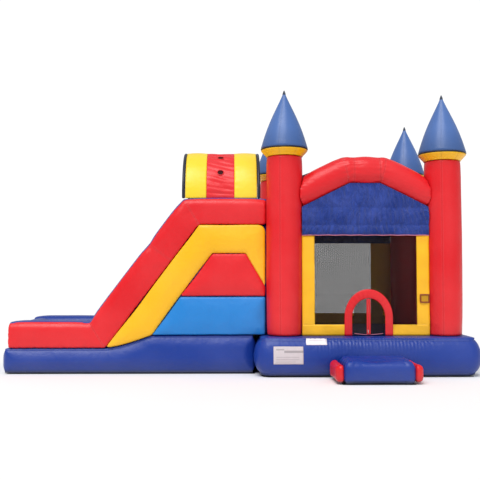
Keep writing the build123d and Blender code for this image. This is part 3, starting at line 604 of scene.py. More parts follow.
def cut_sheets(node, facing, axes, cell, outer=False, splits=()):
    """The panels of a CAD sheet that face one way, each with its flat width, length and area."""
    shape = bmesh.new()
    shape.from_mesh(NODES[node].data)
    bmesh.ops.remove_doubles(shape, verts=shape.verts, dist=1e-5)
    shape.normal_update()
    away = [
        face for face in shape.faces
        if face.normal.dot(facing) < 0.7 or (outer and face.calc_center_median().dot(facing) < 0)
    ]
    bmesh.ops.delete(shape, geom=away, context="FACES")
    bmesh.ops.dissolve_limit(shape, angle_limit=0.02, verts=shape.verts, edges=shape.edges)
    for axis, height in splits:
        spot, normal = Vector((0, 0, 0)), Vector((0, 0, 0))
        spot[axis], normal[axis] = height, 1.0
        cut = bmesh.ops.bisect_plane(
            shape, geom=shape.verts[:] + shape.edges[:] + shape.faces[:], dist=1e-6, plane_co=spot,
            plane_no=normal,
        )["geom_cut"]
        bmesh.ops.split_edges(shape, edges=[g for g in cut if isinstance(g, bmesh.types.BMEdge)])
    shape.verts.index_update()
    made = []
    for lump in islands(shape):
        panel = shape.copy()
        panel.verts.ensure_lookup_table()
        keep = {vert.index for vert in lump}
        bmesh.ops.delete(panel, geom=[v for v in panel.verts if v.index not in keep], context="VERTS")
        small, large = extent(panel.verts)
        flat = ((large - small)[axes[0]], (large - small)[axes[1]])
        if min(flat) < 0.02:
            panel.free()
            continue
        if facing[2] and facing[0]:
            flat = (math.hypot(flat[0], large.z - small.z), flat[1])
        if facing[2] and facing[1]:
            flat = (flat[0], math.hypot(flat[1], large.y - small.y))
        area = sum(face.calc_area() for face in panel.faces)
        lattice(panel, axes, cell)
        made.append((panel, flat, area))
    shape.free()
    return made


def sewn_sheet(name, cut, finishes, drape=None, thickness=None, body="castle"):
    """A panel from cut_sheets, billowed and given its thickness."""
    panel, flat, area = cut
    if drape:
        for vert in panel.verts:
            vert.co += drape(vert.co)
    made = piece(name, panel, finishes, body)
    skin = made.modifiers.new("Vinyl", "SOLIDIFY")
    skin.thickness = thickness or bpy.context.scene.castle_sizes.vinyl
    skin.offset = 0.0
    return made


def billow(facing, depth, scale, seed=0.0):
    """A soft uneven wander of a sheet off its plane."""
    def drape(place):
        return facing * (depth * noise.noise(place * scale + Vector((seed, 0, 0))))
    return drape


def turned(profile, steps):
    """A closed skin turned round the Z axis from (radius, height) pairs."""
    shape = bmesh.new()
    verts = [shape.verts.new((radius, 0, height)) for radius, height in profile]
    edges = [shape.edges.new(pair) for pair in zip(verts, verts[1:])]
    bmesh.ops.spin(
        shape, geom=verts + edges, cent=(0, 0, 0), axis=(0, 0, 1), angle=2 * math.pi, steps=steps,
        use_merge=True,
    )
    bmesh.ops.remove_doubles(shape, verts=shape.verts, dist=1e-5)
    bmesh.ops.recalc_face_normals(shape, faces=shape.faces)
    return shape


def gored(shape, gores, depth, pitch, turn=0.0):
    """Sinks the upright seams between a turned skin's gores, and marks them for their stitching."""
    gap_layer = shape.verts.layers.float.new("seam_gap")
    run_layer = shape.verts.layers.float.new("seam_run")
    for vert in shape.verts:
        radius = math.hypot(vert.co.x, vert.co.y)
        share = (math.atan2(vert.co.y, vert.co.x) + turn) * gores / (2 * math.pi)
        gap = abs(share - round(share)) * 2 * math.pi * radius / gores
        vert[gap_layer], vert[run_layer] = gap, vert.co.z
        if radius < 1e-4:
            continue
        pucker = 0.5 * math.exp(-gap / 0.05) * (1 - wave(vert.co.z, pitch, share))
        crease = math.exp(-((gap / 0.03) ** 2)) + pucker
        scale = (radius - depth * crease) / radius
        vert.co.x *= scale
        vert.co.y *= scale
    return shape


def moved(shape, offset):
    bmesh.ops.translate(shape, vec=Vector(offset), verts=shape.verts)
    return shape


def piping(name, points, radius, finish, body="castle", closed=False):
    """A round edge binding along a smooth line."""
    line = bpy.data.curves.new(name, "CURVE")
    line.dimensions = "3D"
    line.bevel_depth = radius
    line.bevel_resolution = 2
    line.resolution_u = 6
    line.use_fill_caps = not closed
    spline = line.splines.new("NURBS")
    spline.points.add(len(points) - 1)
    for slot, point in zip(spline.points, points):
        slot.co = (*point, 1.0)
    spline.order_u = 3
    spline.use_endpoint_u = not closed
    spline.use_cyclic_u = closed
    holder = bpy.data.objects.new(name, line)
    bpy.context.scene.collection.objects.link(holder)
    graph = bpy.context.evaluated_depsgraph_get()
    mesh = bpy.data.meshes.new_from_object(holder.evaluated_get(graph))
    bpy.data.objects.remove(holder)
    shape = bmesh.new()
    shape.from_mesh(mesh)
    bmesh.ops.remove_doubles(shape, verts=shape.verts, dist=1e-6)
    bmesh.ops.recalc_face_normals(shape, faces=shape.faces)
    return piece(name, shape, [finish], body)


def strap_shape(shape, path, across, width, thickness):
    """Adds a flat strap along a path, wide in one direction."""
    half = Vector(across).normalized() * (width / 2)
    verts = [shape.verts.new(Vector(point) - half) for point in path]
    edges = [shape.edges.new(pair) for pair in zip(verts, verts[1:])]
    made = bmesh.ops.extrude_edge_only(shape, edges=edges)["geom"]
    bmesh.ops.translate(shape, vec=2 * half, verts=[g for g in made if isinstance(g, bmesh.types.BMVert)])
    faces = [g for g in made if isinstance(g, bmesh.types.BMFace)]
    bmesh.ops.solidify(shape, geom=faces, thickness=thickness)


def joined(shapes):
    whole = bmesh.new()
    for shape in shapes:
        mesh = bpy.data.meshes.new("part")
        shape.to_mesh(mesh)
        shape.free()
        whole.from_mesh(mesh)
        bpy.data.meshes.remove(mesh)
    return whole


def rounded_block(size, centre, radius):
    shape = bmesh.new()
    bmesh.ops.create_cube(shape, size=1.0)
    bmesh.ops.scale(shape, vec=Vector(size), verts=shape.verts)
    bmesh.ops.bevel(
        shape, geom=shape.edges[:], offset=radius, affect="EDGES", segments=3, profile=0.5, material=-1
    )
    return moved(shape, centre)


# ---------------------------------------------------------------- pieces
def ribbed_front(shape, half_width, floor_height, pitch, depth):
    """Fine upright ribs where the baffle ends are sewn into the front of a base."""
    front = low("castle_base").y
    near = [
        edge for edge in shape.edges
        if all(
            v.co.y < front + 0.3 and v.co.z > floor_height and abs(v.co.x) < half_width for v in edge.verts
        )
    ]
    bmesh.ops.subdivide_edges(shape, edges=near, cuts=1, use_grid_fill=True)
    shape.normal_update()
    top = high("castle_base").z
    moves = []
    for vert in shape.verts:
        inside = vert.co.y < front + 0.3 and vert.co.z > floor_height and abs(vert.co.x) < half_width
        fade = min(1.0, (half_width - abs(vert.co.x)) / 0.4) if inside else 0.0
        fade *= min(1.0, (vert.co.z - floor_height) / (0.6 * (top - floor_height))) if inside else 0.0
        moves.append(-vert.normal * (depth * fade * (1 - wave(vert.co.x, pitch, 2.0))))
    for vert, move in zip(shape.verts, moves):
        vert.co += move


def fittings():
    """Where tabs and the deflation zip are sewn flat to a chamber, so it can't swell under them."""
    spots = [
        Vector(joint["pos_m"]) + UP * rise
        for joint in frame["joints"] if joint["name"].endswith("_ring_hinge") for rise in (0.0, 0.06, 0.12)
    ]
    small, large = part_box("deflation_zip")
    count = 12
    return spots + [
        Vector((small.x + (large.x - small.x) * k / count, small.y, (small.z + large.z) / 2))
        for k in range(count + 1)
    ]


def swell_share(vert, spots, level):
    """How far a point may swell: fully on open sides, not under a fitting, and little on top or below."""
    near = min((vert.co - spot).length for spot in spots)
    share = min(1.0, max(0.0, (near - FLAT_NEAR) / FLAT_FADE))
    return share if abs(vert.normal.z) < level else share * TOP_SHARE


class CASTLE_OT_base(bpy.types.Operator):
    """Inflate the castle's square base and lay its wear sheets"""

    bl_idname = "castle.base"
    bl_label = "Base and wear sheets"

    def execute(self, context):
        sizes = context.scene.castle_sizes
        shape = outer_skins("castle_base")
        small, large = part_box("castle_base")
        top = Seams(shape, [((0, 0, large.z - 0.05), UP), ((0, 0, small.z + 0.02), UP)])
        shape = remeshed(shape, sizes.base_cell)
        soften(shape, 4)
        spots = fittings()

        def sides(vert):
            return swell_share(vert, spots, 0.85)

        puff(shape, top, 0.036, 0.03, 0.17, 0.014, 0.09, sides)
        ribbed_front(shape, 1.15, 0.24, 0.06, 0.012)
        base = piece("castle_base_skin", shape, ["royal vinyl"])
        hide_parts("castle_base")
        for number, cut in enumerate(cut_sheets("wear_sheets", DOWN, (0, 1), 0.12)):
            sheet = sewn_sheet(
                f"wear_sheet_{number + 1}", cut, ["ground sheet"], lambda place: UP * 0.002,
                thickness=0.003,
            )
            if number == 0:
                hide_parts("wear_sheets")
        NODES["internal_baffles"].data.materials.clear()
        NODES["internal_baffles"].data.materials.append(finish_named("white sheet"))
        return {"FINISHED"}


class CASTLE_OT_floor(bpy.types.Operator):
    """Stretch the bounce floor over the base"""

    bl_idname = "castle.floor"
    bl_label = "Bounce floor"

    def execute(self, context):
        def quilted(place):
            return DOWN * (0.006 * (1 - wave(place.y, 0.44, 5.0)))

        for cut in cut_sheets("bounce_floor", UP, (0, 1), 0.06):
            floor = sewn_sheet("bounce_floor_sheet", cut, ["royal sheet"], quilted)
            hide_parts("bounce_floor")
        return {"FINISHED"}


class CASTLE_OT_towers(bpy.types.Operator):
    """Inflate the four towers with their collars and spires"""

    bl_idname = "castle.towers"
    bl_label = "Towers, collars and spires"

    def tower(self, name, gores):
        small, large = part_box(name)
        radius = (large.x - small.x) / 2
        height = large.z - small.z
        rings = 104
        profile = [(0.0, 0.0), (radius * 0.5, 0.0), (radius * 0.84, 0.004)]
        for k in range(rings + 1):
            t = k / rings
            waist = 0.05 * math.exp(-t * height / 0.35) + 0.035 * math.exp(-(1 - t) * height / 0.10)
            swell = 0.012 * math.sin(math.pi * t)
            profile.append((radius * (0.985 - waist + swell), 0.014 + (height - 0.028) * t))
        profile += [(radius * 0.84, height - 0.004), (radius * 0.5, height), (0.0, height)]
        shape = gored(turned(profile, 96), gores, 0.0015, 0.1, GORE_TURN)
        for vert in shape.verts:
            ripple = 0.004 * noise.noise(Vector((vert.co.x * 5, vert.co.y * 5, vert.co.z * 2.2)))
            vert.co += Vector((vert.co.x, vert.co.y, 0)) * ripple / radius
        centre = (small + large) / 2
        made = piece(f"{name}_skin", moved(shape, (centre.x, centre.y, small.z)), ["red vinyl"])
        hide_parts(name)

    def collar(self, corner, foot, width):
        tall = 0.125
        inner = width * 0.78
        profile = [(0.0, 0.003), (inner * 0.9, 0.003), (inner, 0.0), (inner * 1.03, 0.014)]
        for k in range(1, 9):
            t = k / 8
            profile.append((inner + (width - inner) * t ** 0.8, 0.014 + (tall - 0.03) * t))
        profile += [(width * 0.985, tall - 0.004), (width * 0.9, tall - 0.001), (0.0, tall - 0.001)]
        shape = gored(turned(profile, 128), 8, 0.003, 0.05, GORE_TURN)
        for vert in shape.verts:
            radius = math.hypot(vert.co.x, vert.co.y)
            if radius > 0.1:
                turn = math.atan2(vert.co.y, vert.co.x)
                lift = 0.004 * (wave(turn * radius, 0.09, 1.0) - 1) * math.sin(math.pi * vert.co.z / tall)
                vert.co.x *= 1 + lift / radius
                vert.co.y *= 1 + lift / radius
        made = piece(f"collar_{corner}_skin", moved(shape, foot), ["yellow vinyl"])
        return made

    def spire(self, name):
        small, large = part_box(name)
        centre = (small + large) / 2
        width, height = (large.x - small.x) / 2 * 1.04, large.z - small.z
        profile = [
            (0.0, 0.0), (width * 0.5, 0.0), (width * 0.9, 0.001), (width * 0.96, 0.01), (width, 0.034),
        ]
        for k in range(1, 41):
            t = k / 40
            bulge = 0.034 * math.sin(math.pi * min(1.0, t * 1.15)) * (1 - t) ** 0.3
            profile.append((max(0.006, width * (1 - t) + bulge), 0.034 + (height - 0.04) * t))
        profile.append((0.0, height))
        shape = gored(turned(profile, 96), 4, 0.0015, 0.08, GORE_TURN)
        made = piece(f"{name}_skin", moved(shape, (centre.x, centre.y, small.z)), ["spire vinyl"])
        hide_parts(name)
        ring, reach = [], width * 0.992
        for k in range(24):
            turn = 2 * math.pi * k / 24
            x, y = centre.x + reach * math.cos(turn), centre.y + reach * math.sin(turn)
            ring.append((x, y, small.z + 0.012))
        piping(f"{name}_binding", ring, 0.011, "navy trim", closed=True)
        tip = [
            (0.0, -0.075), (0.031, -0.075), (0.028, -0.05), (0.018, -0.02), (0.009, 0.0),
            (0.006, 0.006), (0.0, 0.007),
        ]
        cap = moved(turned(tip, 24), (centre.x, centre.y, large.z - 0.008))
        piece(f"{name}_tip", cap, ["spire tip"])

    def execute(self, context):
        for corner in CORNERS:
            self.tower(f"tower_{corner}", context.scene.castle_sizes.gores)
            self.spire(f"spire_{corner}")
            small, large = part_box(f"spire_{corner}")
            centre = (small + large) / 2
            foot = (centre.x, centre.y, high(f"tower_{corner}").z)
            self.collar(corner, foot, (large.x - small.x) / 2 * 1.035)
        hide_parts("tower_collars")
        return {"FINISHED"}


class CASTLE_OT_arches(bpy.types.Operator):
    """Inflate the two arches and the side beams"""

    bl_idname = "castle.arches"
    bl_label = "Arches and beams"

    def execute(self, context):
        cell = context.scene.castle_sizes.rail_cell
        for name, y in (("arch_front", -1.45), ("arch_rear", 1.45)):
            joints = [((x, y, 3.68), (1, 0, 0)) for x in (-0.195, 0.274)]
            chamber(f"{name}_skin", [name], ["red vinyl"], cell, joints, 5, 0.012, 0.004, 0.13,
                    0.022, 0.11)
        chamber(
            "side_beams_skin", ["side_beams"], ["red vinyl"], cell * 1.3,
            [((0, y, 3.5), (0, 1, 0)) for y in (-0.5, 0.5)], 3, 0.004, 0.006, 0.09, 0.01,
        )
        return {"FINISHED"}


class CASTLE_OT_roof(bpy.types.Operator):
    """Stretch the roof panels between the arches"""

    bl_idname = "castle.roof"
    bl_label = "Roof"

    def execute(self, context):
        def sagging(place):
            reach = min(abs(place.x), 1.2)
            dip = 0.17 * max(0.0, reach - 0.75) * max(0.0, 1.0 - max(0.0, abs(place.x) - 1.2) / 0.15)
            near_arch = min(1.0, max(0.0, (abs(place.y) - 0.6) / 0.4))
            return DOWN * (dip * near_arch) + billow(UP, 0.012, 1.8)(place)

        for number, cut in enumerate(cut_sheets("roof_panels", UP, (0, 1), 0.07)):
            roof = sewn_sheet(f"roof_sheet_{number + 1}", cut, ["royal sheet"], sagging)
            if number == 0:
                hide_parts("roof_panels")
        return {"FINISHED"}


class CASTLE_OT_walls(bpy.types.Operator):
    """Sew the yellow borders and the netting of the four walls"""

    bl_idname = "castle.walls"
    bl_label = "Borders and netting"

    def execute(self, context):
        for node, ways in (("border_front", (FRONT,)), ("borders_rear_and_sides", (REAR, RIGHT, LEFT))):
            number = 0
            for facing in ways:
                axes = (0, 2) if facing.y else (1, 2)
                sill = [(2, low("netting_rear_and_side").z)] if facing is RIGHT else []
                for cut in cut_sheets(node, facing, axes, 0.035, True, sill):
                    number += 1
                    strip = sewn_sheet(
                        f"{node}_strip_{number}", cut, ["yellow sheet"], billow(facing, 0.022, 4.2, number)
                    )
                    if number == 1:
                        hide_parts(node)
        cuts = [("netting_front", FRONT, (0, 2)), ("netting_rear_and_side", REAR, (0, 2)),
                ("netting_rear_and_side", RIGHT, (1, 2))]
        for number, (node, facing, axes) in enumerate(cuts):
            for cut in cut_sheets(node, facing, axes, 0.08, True):
                net = sewn_sheet(
                    f"wall_net_{number + 1}", cut, ["netting"], billow(facing, 0.006, 1.1, number),
                    thickness=0.0012,
                )
                if number < 2:
                    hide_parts(node)
        return {"FINISHED"}


class CASTLE_OT_valances(bpy.types.Operator):
    """Gather the tiered valances under the arches"""

    bl_idname = "castle.valances"
    bl_label = "Valances"

    def gathered(self, facing, tiers):
        """Folds between the stitched rows, deepest in the middle of a tier."""
        def drape(place):
            run = place.x if facing.y else place.y
            lean = run + 0.32 * (place.z - tiers[1]) * math.copysign(min(1.0, abs(run)), run)
            lean += 0.05 * noise.noise(Vector((run * 2.7, place.z * 5.0, 4.4)))
            below = max((t for t in tiers if t <= place.z + 1e-6), default=tiers[0])
            above = min((t for t in tiers if t > place.z + 1e-6), default=tiers[-1])
            share = (place.z - below) / max(1e-3, above - below)
            tier = tiers.index(below)
            belly = math.sin(math.pi * min(1.0, max(0.0, share))) ** 0.7
            depth = 0.055 if tier < 2 else 0.034
            folds = wave(lean, 0.105, 3.0 + 5 * tier)
            ease = 0.7 + 0.5 * noise.noise(Vector((run * 1.3, tier * 2.0, 0.5)))
            return facing * (depth * belly * (folds - 0.35) * ease + 0.018 * belly)
        return drape

    def execute(self, context):
        small = low("valances")
        tiers = [small.z, small.z + 0.185, small.z + 0.5, small.z + 0.93]
        for number, (facing, axes) in enumerate(((FRONT, (0, 2)), (REAR, (0, 2)), (RIGHT, (1, 2)))):
            for cut in cut_sheets("valances", facing, axes, 0.016, True):
                bottom = extent(cut[0].verts)[0]
                rows = [bottom.z + t - tiers[0] for t in tiers]
                made = sewn_sheet(
                    f"valance_{number + 1}", cut, ["valance cloth"], self.gathered(facing, rows)
                )
                if number == 0:
                    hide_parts("valances")
        y = small.y - 0.006
        hem = [(-1.147 + 2.294 * k / 24, y - 0.004 * (k % 2), small.z + 0.004 * (k % 3)) for k in range(25)]
        piping("valance_binding", hem, 0.008, "binding")
        return {"FINISHED"}


class CASTLE_OT_door(bpy.types.Operator):
    """Make the doorway's padded arch, its netted flaps and their zip"""

    bl_idname = "castle.door"
    bl_label = "Doorway"

    def band(self, small, large, inner_half, spring):
        """An arch swept from an oval section, then stretched upwards to its true height."""
        middle = ((large.x - small.x) / 2 + inner_half) / 2
        wide = (large.x - small.x) / 2 - inner_half
        shape = bmesh.new()
        bmesh.ops.create_circle(shape, segments=20, radius=0.5)
        bmesh.ops.scale(shape, vec=(wide, 0.03, 1), verts=shape.verts)
        bmesh.ops.translate(shape, vec=(middle, 0, 0), verts=shape.verts)
        ring = shape.verts[:] + shape.edges[:]
        made = bmesh.ops.spin(
            shape, geom=ring, cent=(0, 0, 0), axis=(0, -1, 0), angle=math.pi, steps=56
        )["geom_last"]
        rise = (large.z - spring - wide / 2) / middle
        bmesh.ops.scale(shape, vec=(1, 1, rise), verts=shape.verts)
        first = [edge for edge in ring if isinstance(edge, bmesh.types.BMEdge)]
        last = [edge for edge in made if isinstance(edge, bmesh.types.BMEdge)]
        for edges in (first, last):
            for _ in range(10):
                grown = bmesh.ops.extrude_edge_only(shape, edges=edges)["geom"]
                verts = [g for g in grown if isinstance(g, bmesh.types.BMVert)]
                bmesh.ops.translate(shape, vec=(0, 0, (small.z - spring) / 10), verts=verts)
                edges = [g for g in grown if isinstance(g, bmesh.types.BMEdge)]
            bmesh.ops.contextual_create(shape, geom=edges)
        bmesh.ops.remove_doubles(shape, verts=shape.verts, dist=1e-5)
        bmesh.ops.recalc_face_normals(shape, faces=shape.faces)
        for vert in shape.verts:
            run = math.atan2(vert.co.z, vert.co.x) * middle if vert.co.z > 0 else vert.co.z
            vert.co.y *= 0.5 + 0.75 * wave(run, 0.075, 4.0)
        return moved(shape, ((small.x + large.x) / 2, small.y - 0.002, spring))

    def teeth(self, side, low_z, high_z, x, y):
        shapes = []
        count = 110
        for k in range(count):
            z = low_z + (high_z - low_z) * (k + (0.5 if side > 0 else 0.0)) / count
            tooth = bmesh.new()
            bmesh.ops.create_cube(tooth, size=1.0)
            bmesh.ops.scale(tooth, vec=(0.0042, 0.0022, 0.0032), verts=tooth.verts)
            shapes.append(moved(tooth, (x + side * 0.0022, y, z)))
        return joined(shapes)

    def execute(self, context):
        small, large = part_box("door_frame")
        inner = (high("door_flap_right").x - low("door_flap_left").x) / 2 + 0.006
        frame_band = piece("door_arch_padding", self.band(small, large, inner, 1.02), ["red sheet"])
        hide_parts("door_frame")
        middle = (low("door_tape_right").x + high("door_tape_left").x) / 2
        for side, word in ((-1, "left"), (1, "right")):
            body = f"{word}_door_flap"
            for cut in cut_sheets(f"door_flap_{word}", FRONT, (0, 2), 0.03):
                net = sewn_sheet(
                    f"door_net_{word}", cut, ["door netting"], billow(REAR, 0.002, 3.0, side),
                    0.0012, body,
                )
                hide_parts(f"door_flap_{word}")
            for cut in cut_sheets(f"door_tape_{word}", FRONT, (0, 2), 0.012):
                tape = sewn_sheet(
                    f"door_zip_tape_{word}", cut, ["red sheet"], billow(REAR, 0.001, 9.0, side),
                    0.0022, body,
                )
                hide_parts(f"door_tape_{word}")
            tape_low, tape_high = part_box(f"door_tape_{word}")
            x = middle + side * 0.0012
            piece(
                f"door_zip_teeth_{word}",
                self.teeth(side, tape_low.z + 0.01, tape_high.z - 0.01, x, tape_low.y + 0.0012),
                ["zip metal"], body, smooth=False,
            )
            flap_low, flap_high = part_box(f"door_flap_{word}")
            y = flap_low.y - 0.001
            near, far = middle + side * 0.004, (flap_low.x if side < 0 else flap_high.x) - side * 0.034
            hem = []
            for k in range(9):
                t = k / 8
                hem.append((near + (far - near) * t, y, flap_low.z + 0.004 + 0.02 * t * t))
            piping(f"door_hem_{word}", hem, 0.0055, "binding", body)
        for name in ("door_zip_slider", "door_pull_tab", "deflation_slider", "deflation_pull_tab"):
            NODES[name].data.materials.clear()
            NODES[name].data.materials.append(finish_named("zip metal"))
        return {"FINISHED"}


class CASTLE_OT_step(bpy.types.Operator):
    """Inflate the entrance step and its end caps"""

    bl_idname = "castle.step"
    bl_label = "Entrance step"

    def execute(self, context):
        sizes = context.scene.castle_sizes
        small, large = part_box("step_body")
        rows = [((0, small.y + (large.y - small.y) * t, large.z), (0, 1, 0)) for t in (0.2, 0.42, 0.64, 0.86)]

        def upper(vert):
            return 1.0 if vert.normal.z > -0.3 else 0.1

        chamber("step_skin", ["step_body"], ["royal vinyl"], 0.02, rows, 10, 0.024, 0.02, 0.07,
                0.012, 0.06, upper, blow=0.04)
        chamber("step_end_caps", ["step_ends"], ["red vinyl"], sizes.fine_cell, (), 4, 0.008, 0.0, 0.08,
                blow=0.015)
        return {"FINISHED"}


class CASTLE_OT_slide_chambers(bpy.types.Operator):
    """Inflate the slide's base and the chamber under its slope"""

    bl_idname = "castle.slide_chambers"
    bl_label = "Slide chambers"

    def execute(self, context):
        cell = context.scene.castle_sizes.base_cell
        spots = fittings()

        def sides(vert):
            return swell_share(vert, spots, 0.8)

        chamber("slide_base_skin", ["slide_base"], ["royal vinyl"], cell, [((0, 0, 0.01), UP)], 6, 0.04,
                0.034, 0.15, 0.012, 0.1, sides)
        chamber("slide_body_skin", ["slide_body"], ["royal vinyl"], cell * 1.4, (), 1, 0.0, 0.004,
                0.05, 0.006)
        return {"FINISHED"}


class CASTLE_OT_rails(bpy.types.Operator):
    """Inflate the two side rails, red outside and blue inside"""

    bl_idname = "castle.rails"
    bl_label = "Slide rails"

    def execute(self, context):
        cell = context.scene.castle_sizes.rail_cell
        slope = Vector((1.7, 0, 2.255)).normalized()
        joints = [((-3.72, 0, 2.2), slope)]
        crest = 0.07
        front, rear = low("rail_front").y + crest, high("rail_rear").y - crest

        def front_inside(place):
            return 1 if place.y > front else 0

        def rear_inside(place):
            return 1 if place.y < rear else 0

        for name, split in (("rail_front", front_inside), ("rail_rear", rear_inside)):
            chamber(
                f"{name}_skin", [name], ["red vinyl", "royal vinyl"], cell, joints, 6, 0.016, 0.003, 0.16,
                0.012, 0.13, split=split,
            )
        return {"FINISHED"}


class CASTLE_OT_side_panels(bpy.types.Operator):
    """Inflate the coloured facing panels on both sides of the slide"""

    bl_idname = "castle.side_panels"
    bl_label = "Slide side panels"

    def execute(self, context):
        cell = context.scene.castle_sizes.rail_cell
        for node, finish in (
            ("slide_side_bands", "yellow vinyl"), ("slide_side_red_panels", "red vinyl"),
            ("slide_side_blue_panels", "sky vinyl"),
        ):
            chamber(f"{node}_skin", [node], [finish], cell, (), 3, 0.03, -0.004, 0.17, 0.004, 0.1,
                    blow=0.012)
        return {"FINISHED"}


class CASTLE_OT_lane(bpy.types.Operator):
    """Lay the sliding sheet and inflate the bumper at its foot"""

    bl_idname = "castle.lane"
    bl_label = "Slide lane"

    def execute(self, context):
        def quilted(place):
            run = place.x * 0.6 + place.z * 0.8
            return DOWN * (0.004 * (1 - wave(run, 0.3, 6.0)))

        for number, facing in enumerate((Vector((-0.8, 0, 0.6)), UP)):
            for order, cut in enumerate(cut_sheets("slide_bed", facing, (0, 1), 0.05)):
                name = f"slide_sheet_{number + 1}_{order + 1}"
                lane = sewn_sheet(name, cut, ["royal sheet"], quilted)
                if number + order == 0:
                    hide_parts("slide_bed")
        chamber("end_bumper_skin", ["end_bumper"], ["royal vinyl"], 0.02, (), 5, 0.008, 0.006, 0.1,
                blow=0.015)
        return {"FINISHED"}


class CASTLE_OT_hood(bpy.types.Operator):
    """Stretch the striped hood over the platform, with its rims and vents"""

    bl_idname = "castle.hood"
    bl_label = "Hood"

    def panel(self, x0, x1, centre, radius, cell, drape):
        shape = bmesh.new()
        count = max(2, int((x1 - x0) / cell))
        verts = [
            shape.verts.new((x0 + (x1 - x0) * k / count, centre.y - radius, centre.z))
            for k in range(count + 1)
        ]
        edges = [shape.edges.new(pair) for pair in zip(verts, verts[1:])]
        steps = int(math.pi * radius / cell)
        bmesh.ops.spin(shape, geom=verts + edges, cent=centre, axis=(-1, 0, 0), angle=math.pi, steps=steps)
        bmesh.ops.remove_doubles(shape, verts=shape.verts, dist=1e-6)
        for vert in shape.verts:
            out = Vector((0, vert.co.y - centre.y, vert.co.z - centre.z))
            run = math.atan2(out.z, -out.y) * radius
            vert.co += out.normalized() * drape(vert.co.x, run)
        bmesh.ops.recalc_face_normals(shape, faces=shape.faces)
        if sum(f.normal.dot(f.calc_center_median() - centre) for f in shape.faces) < 0:
            bmesh.ops.reverse_faces(shape, faces=shape.faces)
        return shape

    def striped(self, x0, x1, depth):
        def drape(x, run):
            share = (x - x0) / (x1 - x0)
            belly = math.sin(math.pi * share)
            return depth * belly - 0.008 * (1 - belly) * (1 - wave(run, 0.12, x0)) - 0.003
        return drape

    def crumpled(self, x0, x1):
        def drape(x, run):
            share = (x - x0) / (x1 - x0)
            pull = 0.018 * noise.noise(Vector((x * 2.2, run * 9.0 + x * 3.0, 1.0)))
            fold = -0.019 * (1 - wave(run + 0.35 * (x - x0) * math.sin(run * 2.3), 0.13, 7.0))
            return pull * math.sin(math.pi * share) + fold * (0.5 + 0.5 * math.sin(math.pi * share)) - 0.006
        return drape

    def execute(self, context):
        small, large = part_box("hood_yellow_panels")
        red_small, red_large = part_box("hood_red_panel")
        radius = (large.y - small.y) / 2
        centre = Vector((0, (small.y + large.y) / 2, small.z))
        for word, x0, x1 in (("left", small.x, red_small.x), ("right", red_large.x, large.x)):
            shape = self.panel(x0, x1, centre, radius, 0.024, self.striped(x0, x1, 0.012))
            made = piece(f"hood_panel_{word}", shape, ["canopy yellow"])
            made.modifiers.new("Vinyl", "SOLIDIFY").thickness = 0.003
            if word == "left":
                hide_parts("hood_yellow_panels")
        x0, x1 = red_small.x, red_large.x
        shape = self.panel(x0, x1, centre, radius, 0.013, self.crumpled(x0, x1))
        middle, hole = (x0 + x1) / 2, 0.062
        vents = []
        for angle in (31.0, 58.0, 122.0, 149.0):
            turn = math.radians(angle)
            way = Vector((0, -math.cos(turn), math.sin(turn)))
            vents.append((Vector((middle, 0, 0)) + centre + way * radius, way))
        gone = [
            face for face in shape.faces
            if any((face.calc_center_median() - spot).length < hole - 0.004 for spot, _ in vents)
        ]
        bmesh.ops.delete(shape, geom=gone, context="FACES")
        made = piece("hood_panel_middle", shape, ["red sheet"])
        made.modifiers.new("Vinyl", "SOLIDIFY").thickness = 0.003
        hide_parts("hood_red_panel")
        hems, screens = [], []
        for spot, way in vents:
            seat = spot - way * 0.012
            turn = way.to_track_quat("Z", "Y").to_matrix().to_4x4()
            hem = turned_ring(hole, 0.009)
            bmesh.ops.transform(hem, matrix=Matrix.Translation(seat) @ turn, verts=hem.verts)
            hems.append(hem)
            # each screen is netting made dark and dense: painted shade just inside its vent hole
            screen = bmesh.new()
            bmesh.ops.create_circle(screen, cap_ends=True, segments=32, radius=hole)
            inward = Matrix.Translation(seat - way * 0.006)
            bmesh.ops.transform(screen, matrix=inward @ turn, verts=screen.verts)
            bmesh.ops.solidify(screen, geom=screen.faces[:], thickness=0.001)
            screens.append(screen)
        piece("hood_vent_hems", joined(hems), ["red sheet"])
        piece("hood_vent_screens", joined(screens), ["vent netting and painted shade"], smooth=False)
        chamber("hood_rims_skin", ["hood_rims"], ["navy trim"], 0.013, (), 2, 0.0, 0.0, 0.05, 0.004, 0.05)
        return {"FINISHED"}


def turned_ring(radius, thickness):
    """A small hem ring in the XY plane."""
    shape = bmesh.new()
    bmesh.ops.create_circle(shape, segments=10, radius=thickness)
    bmesh.ops.rotate(shape, matrix=Matrix.Rotation(math.pi / 2, 3, "X"), verts=shape.verts)
    bmesh.ops.translate(shape, vec=(radius, 0, 0), verts=shape.verts)
    bmesh.ops.spin(
        shape, geom=shape.verts[:] + shape.edges[:], cent=(0, 0, 0), axis=(0, 0, 1), angle=2 * math.pi, steps=40,
        use_merge=True,
    )
    bmesh.ops.remove_doubles(shape, verts=shape.verts, dist=1e-6)
    bmesh.ops.recalc_face_normals(shape, faces=shape.faces)
    return shape


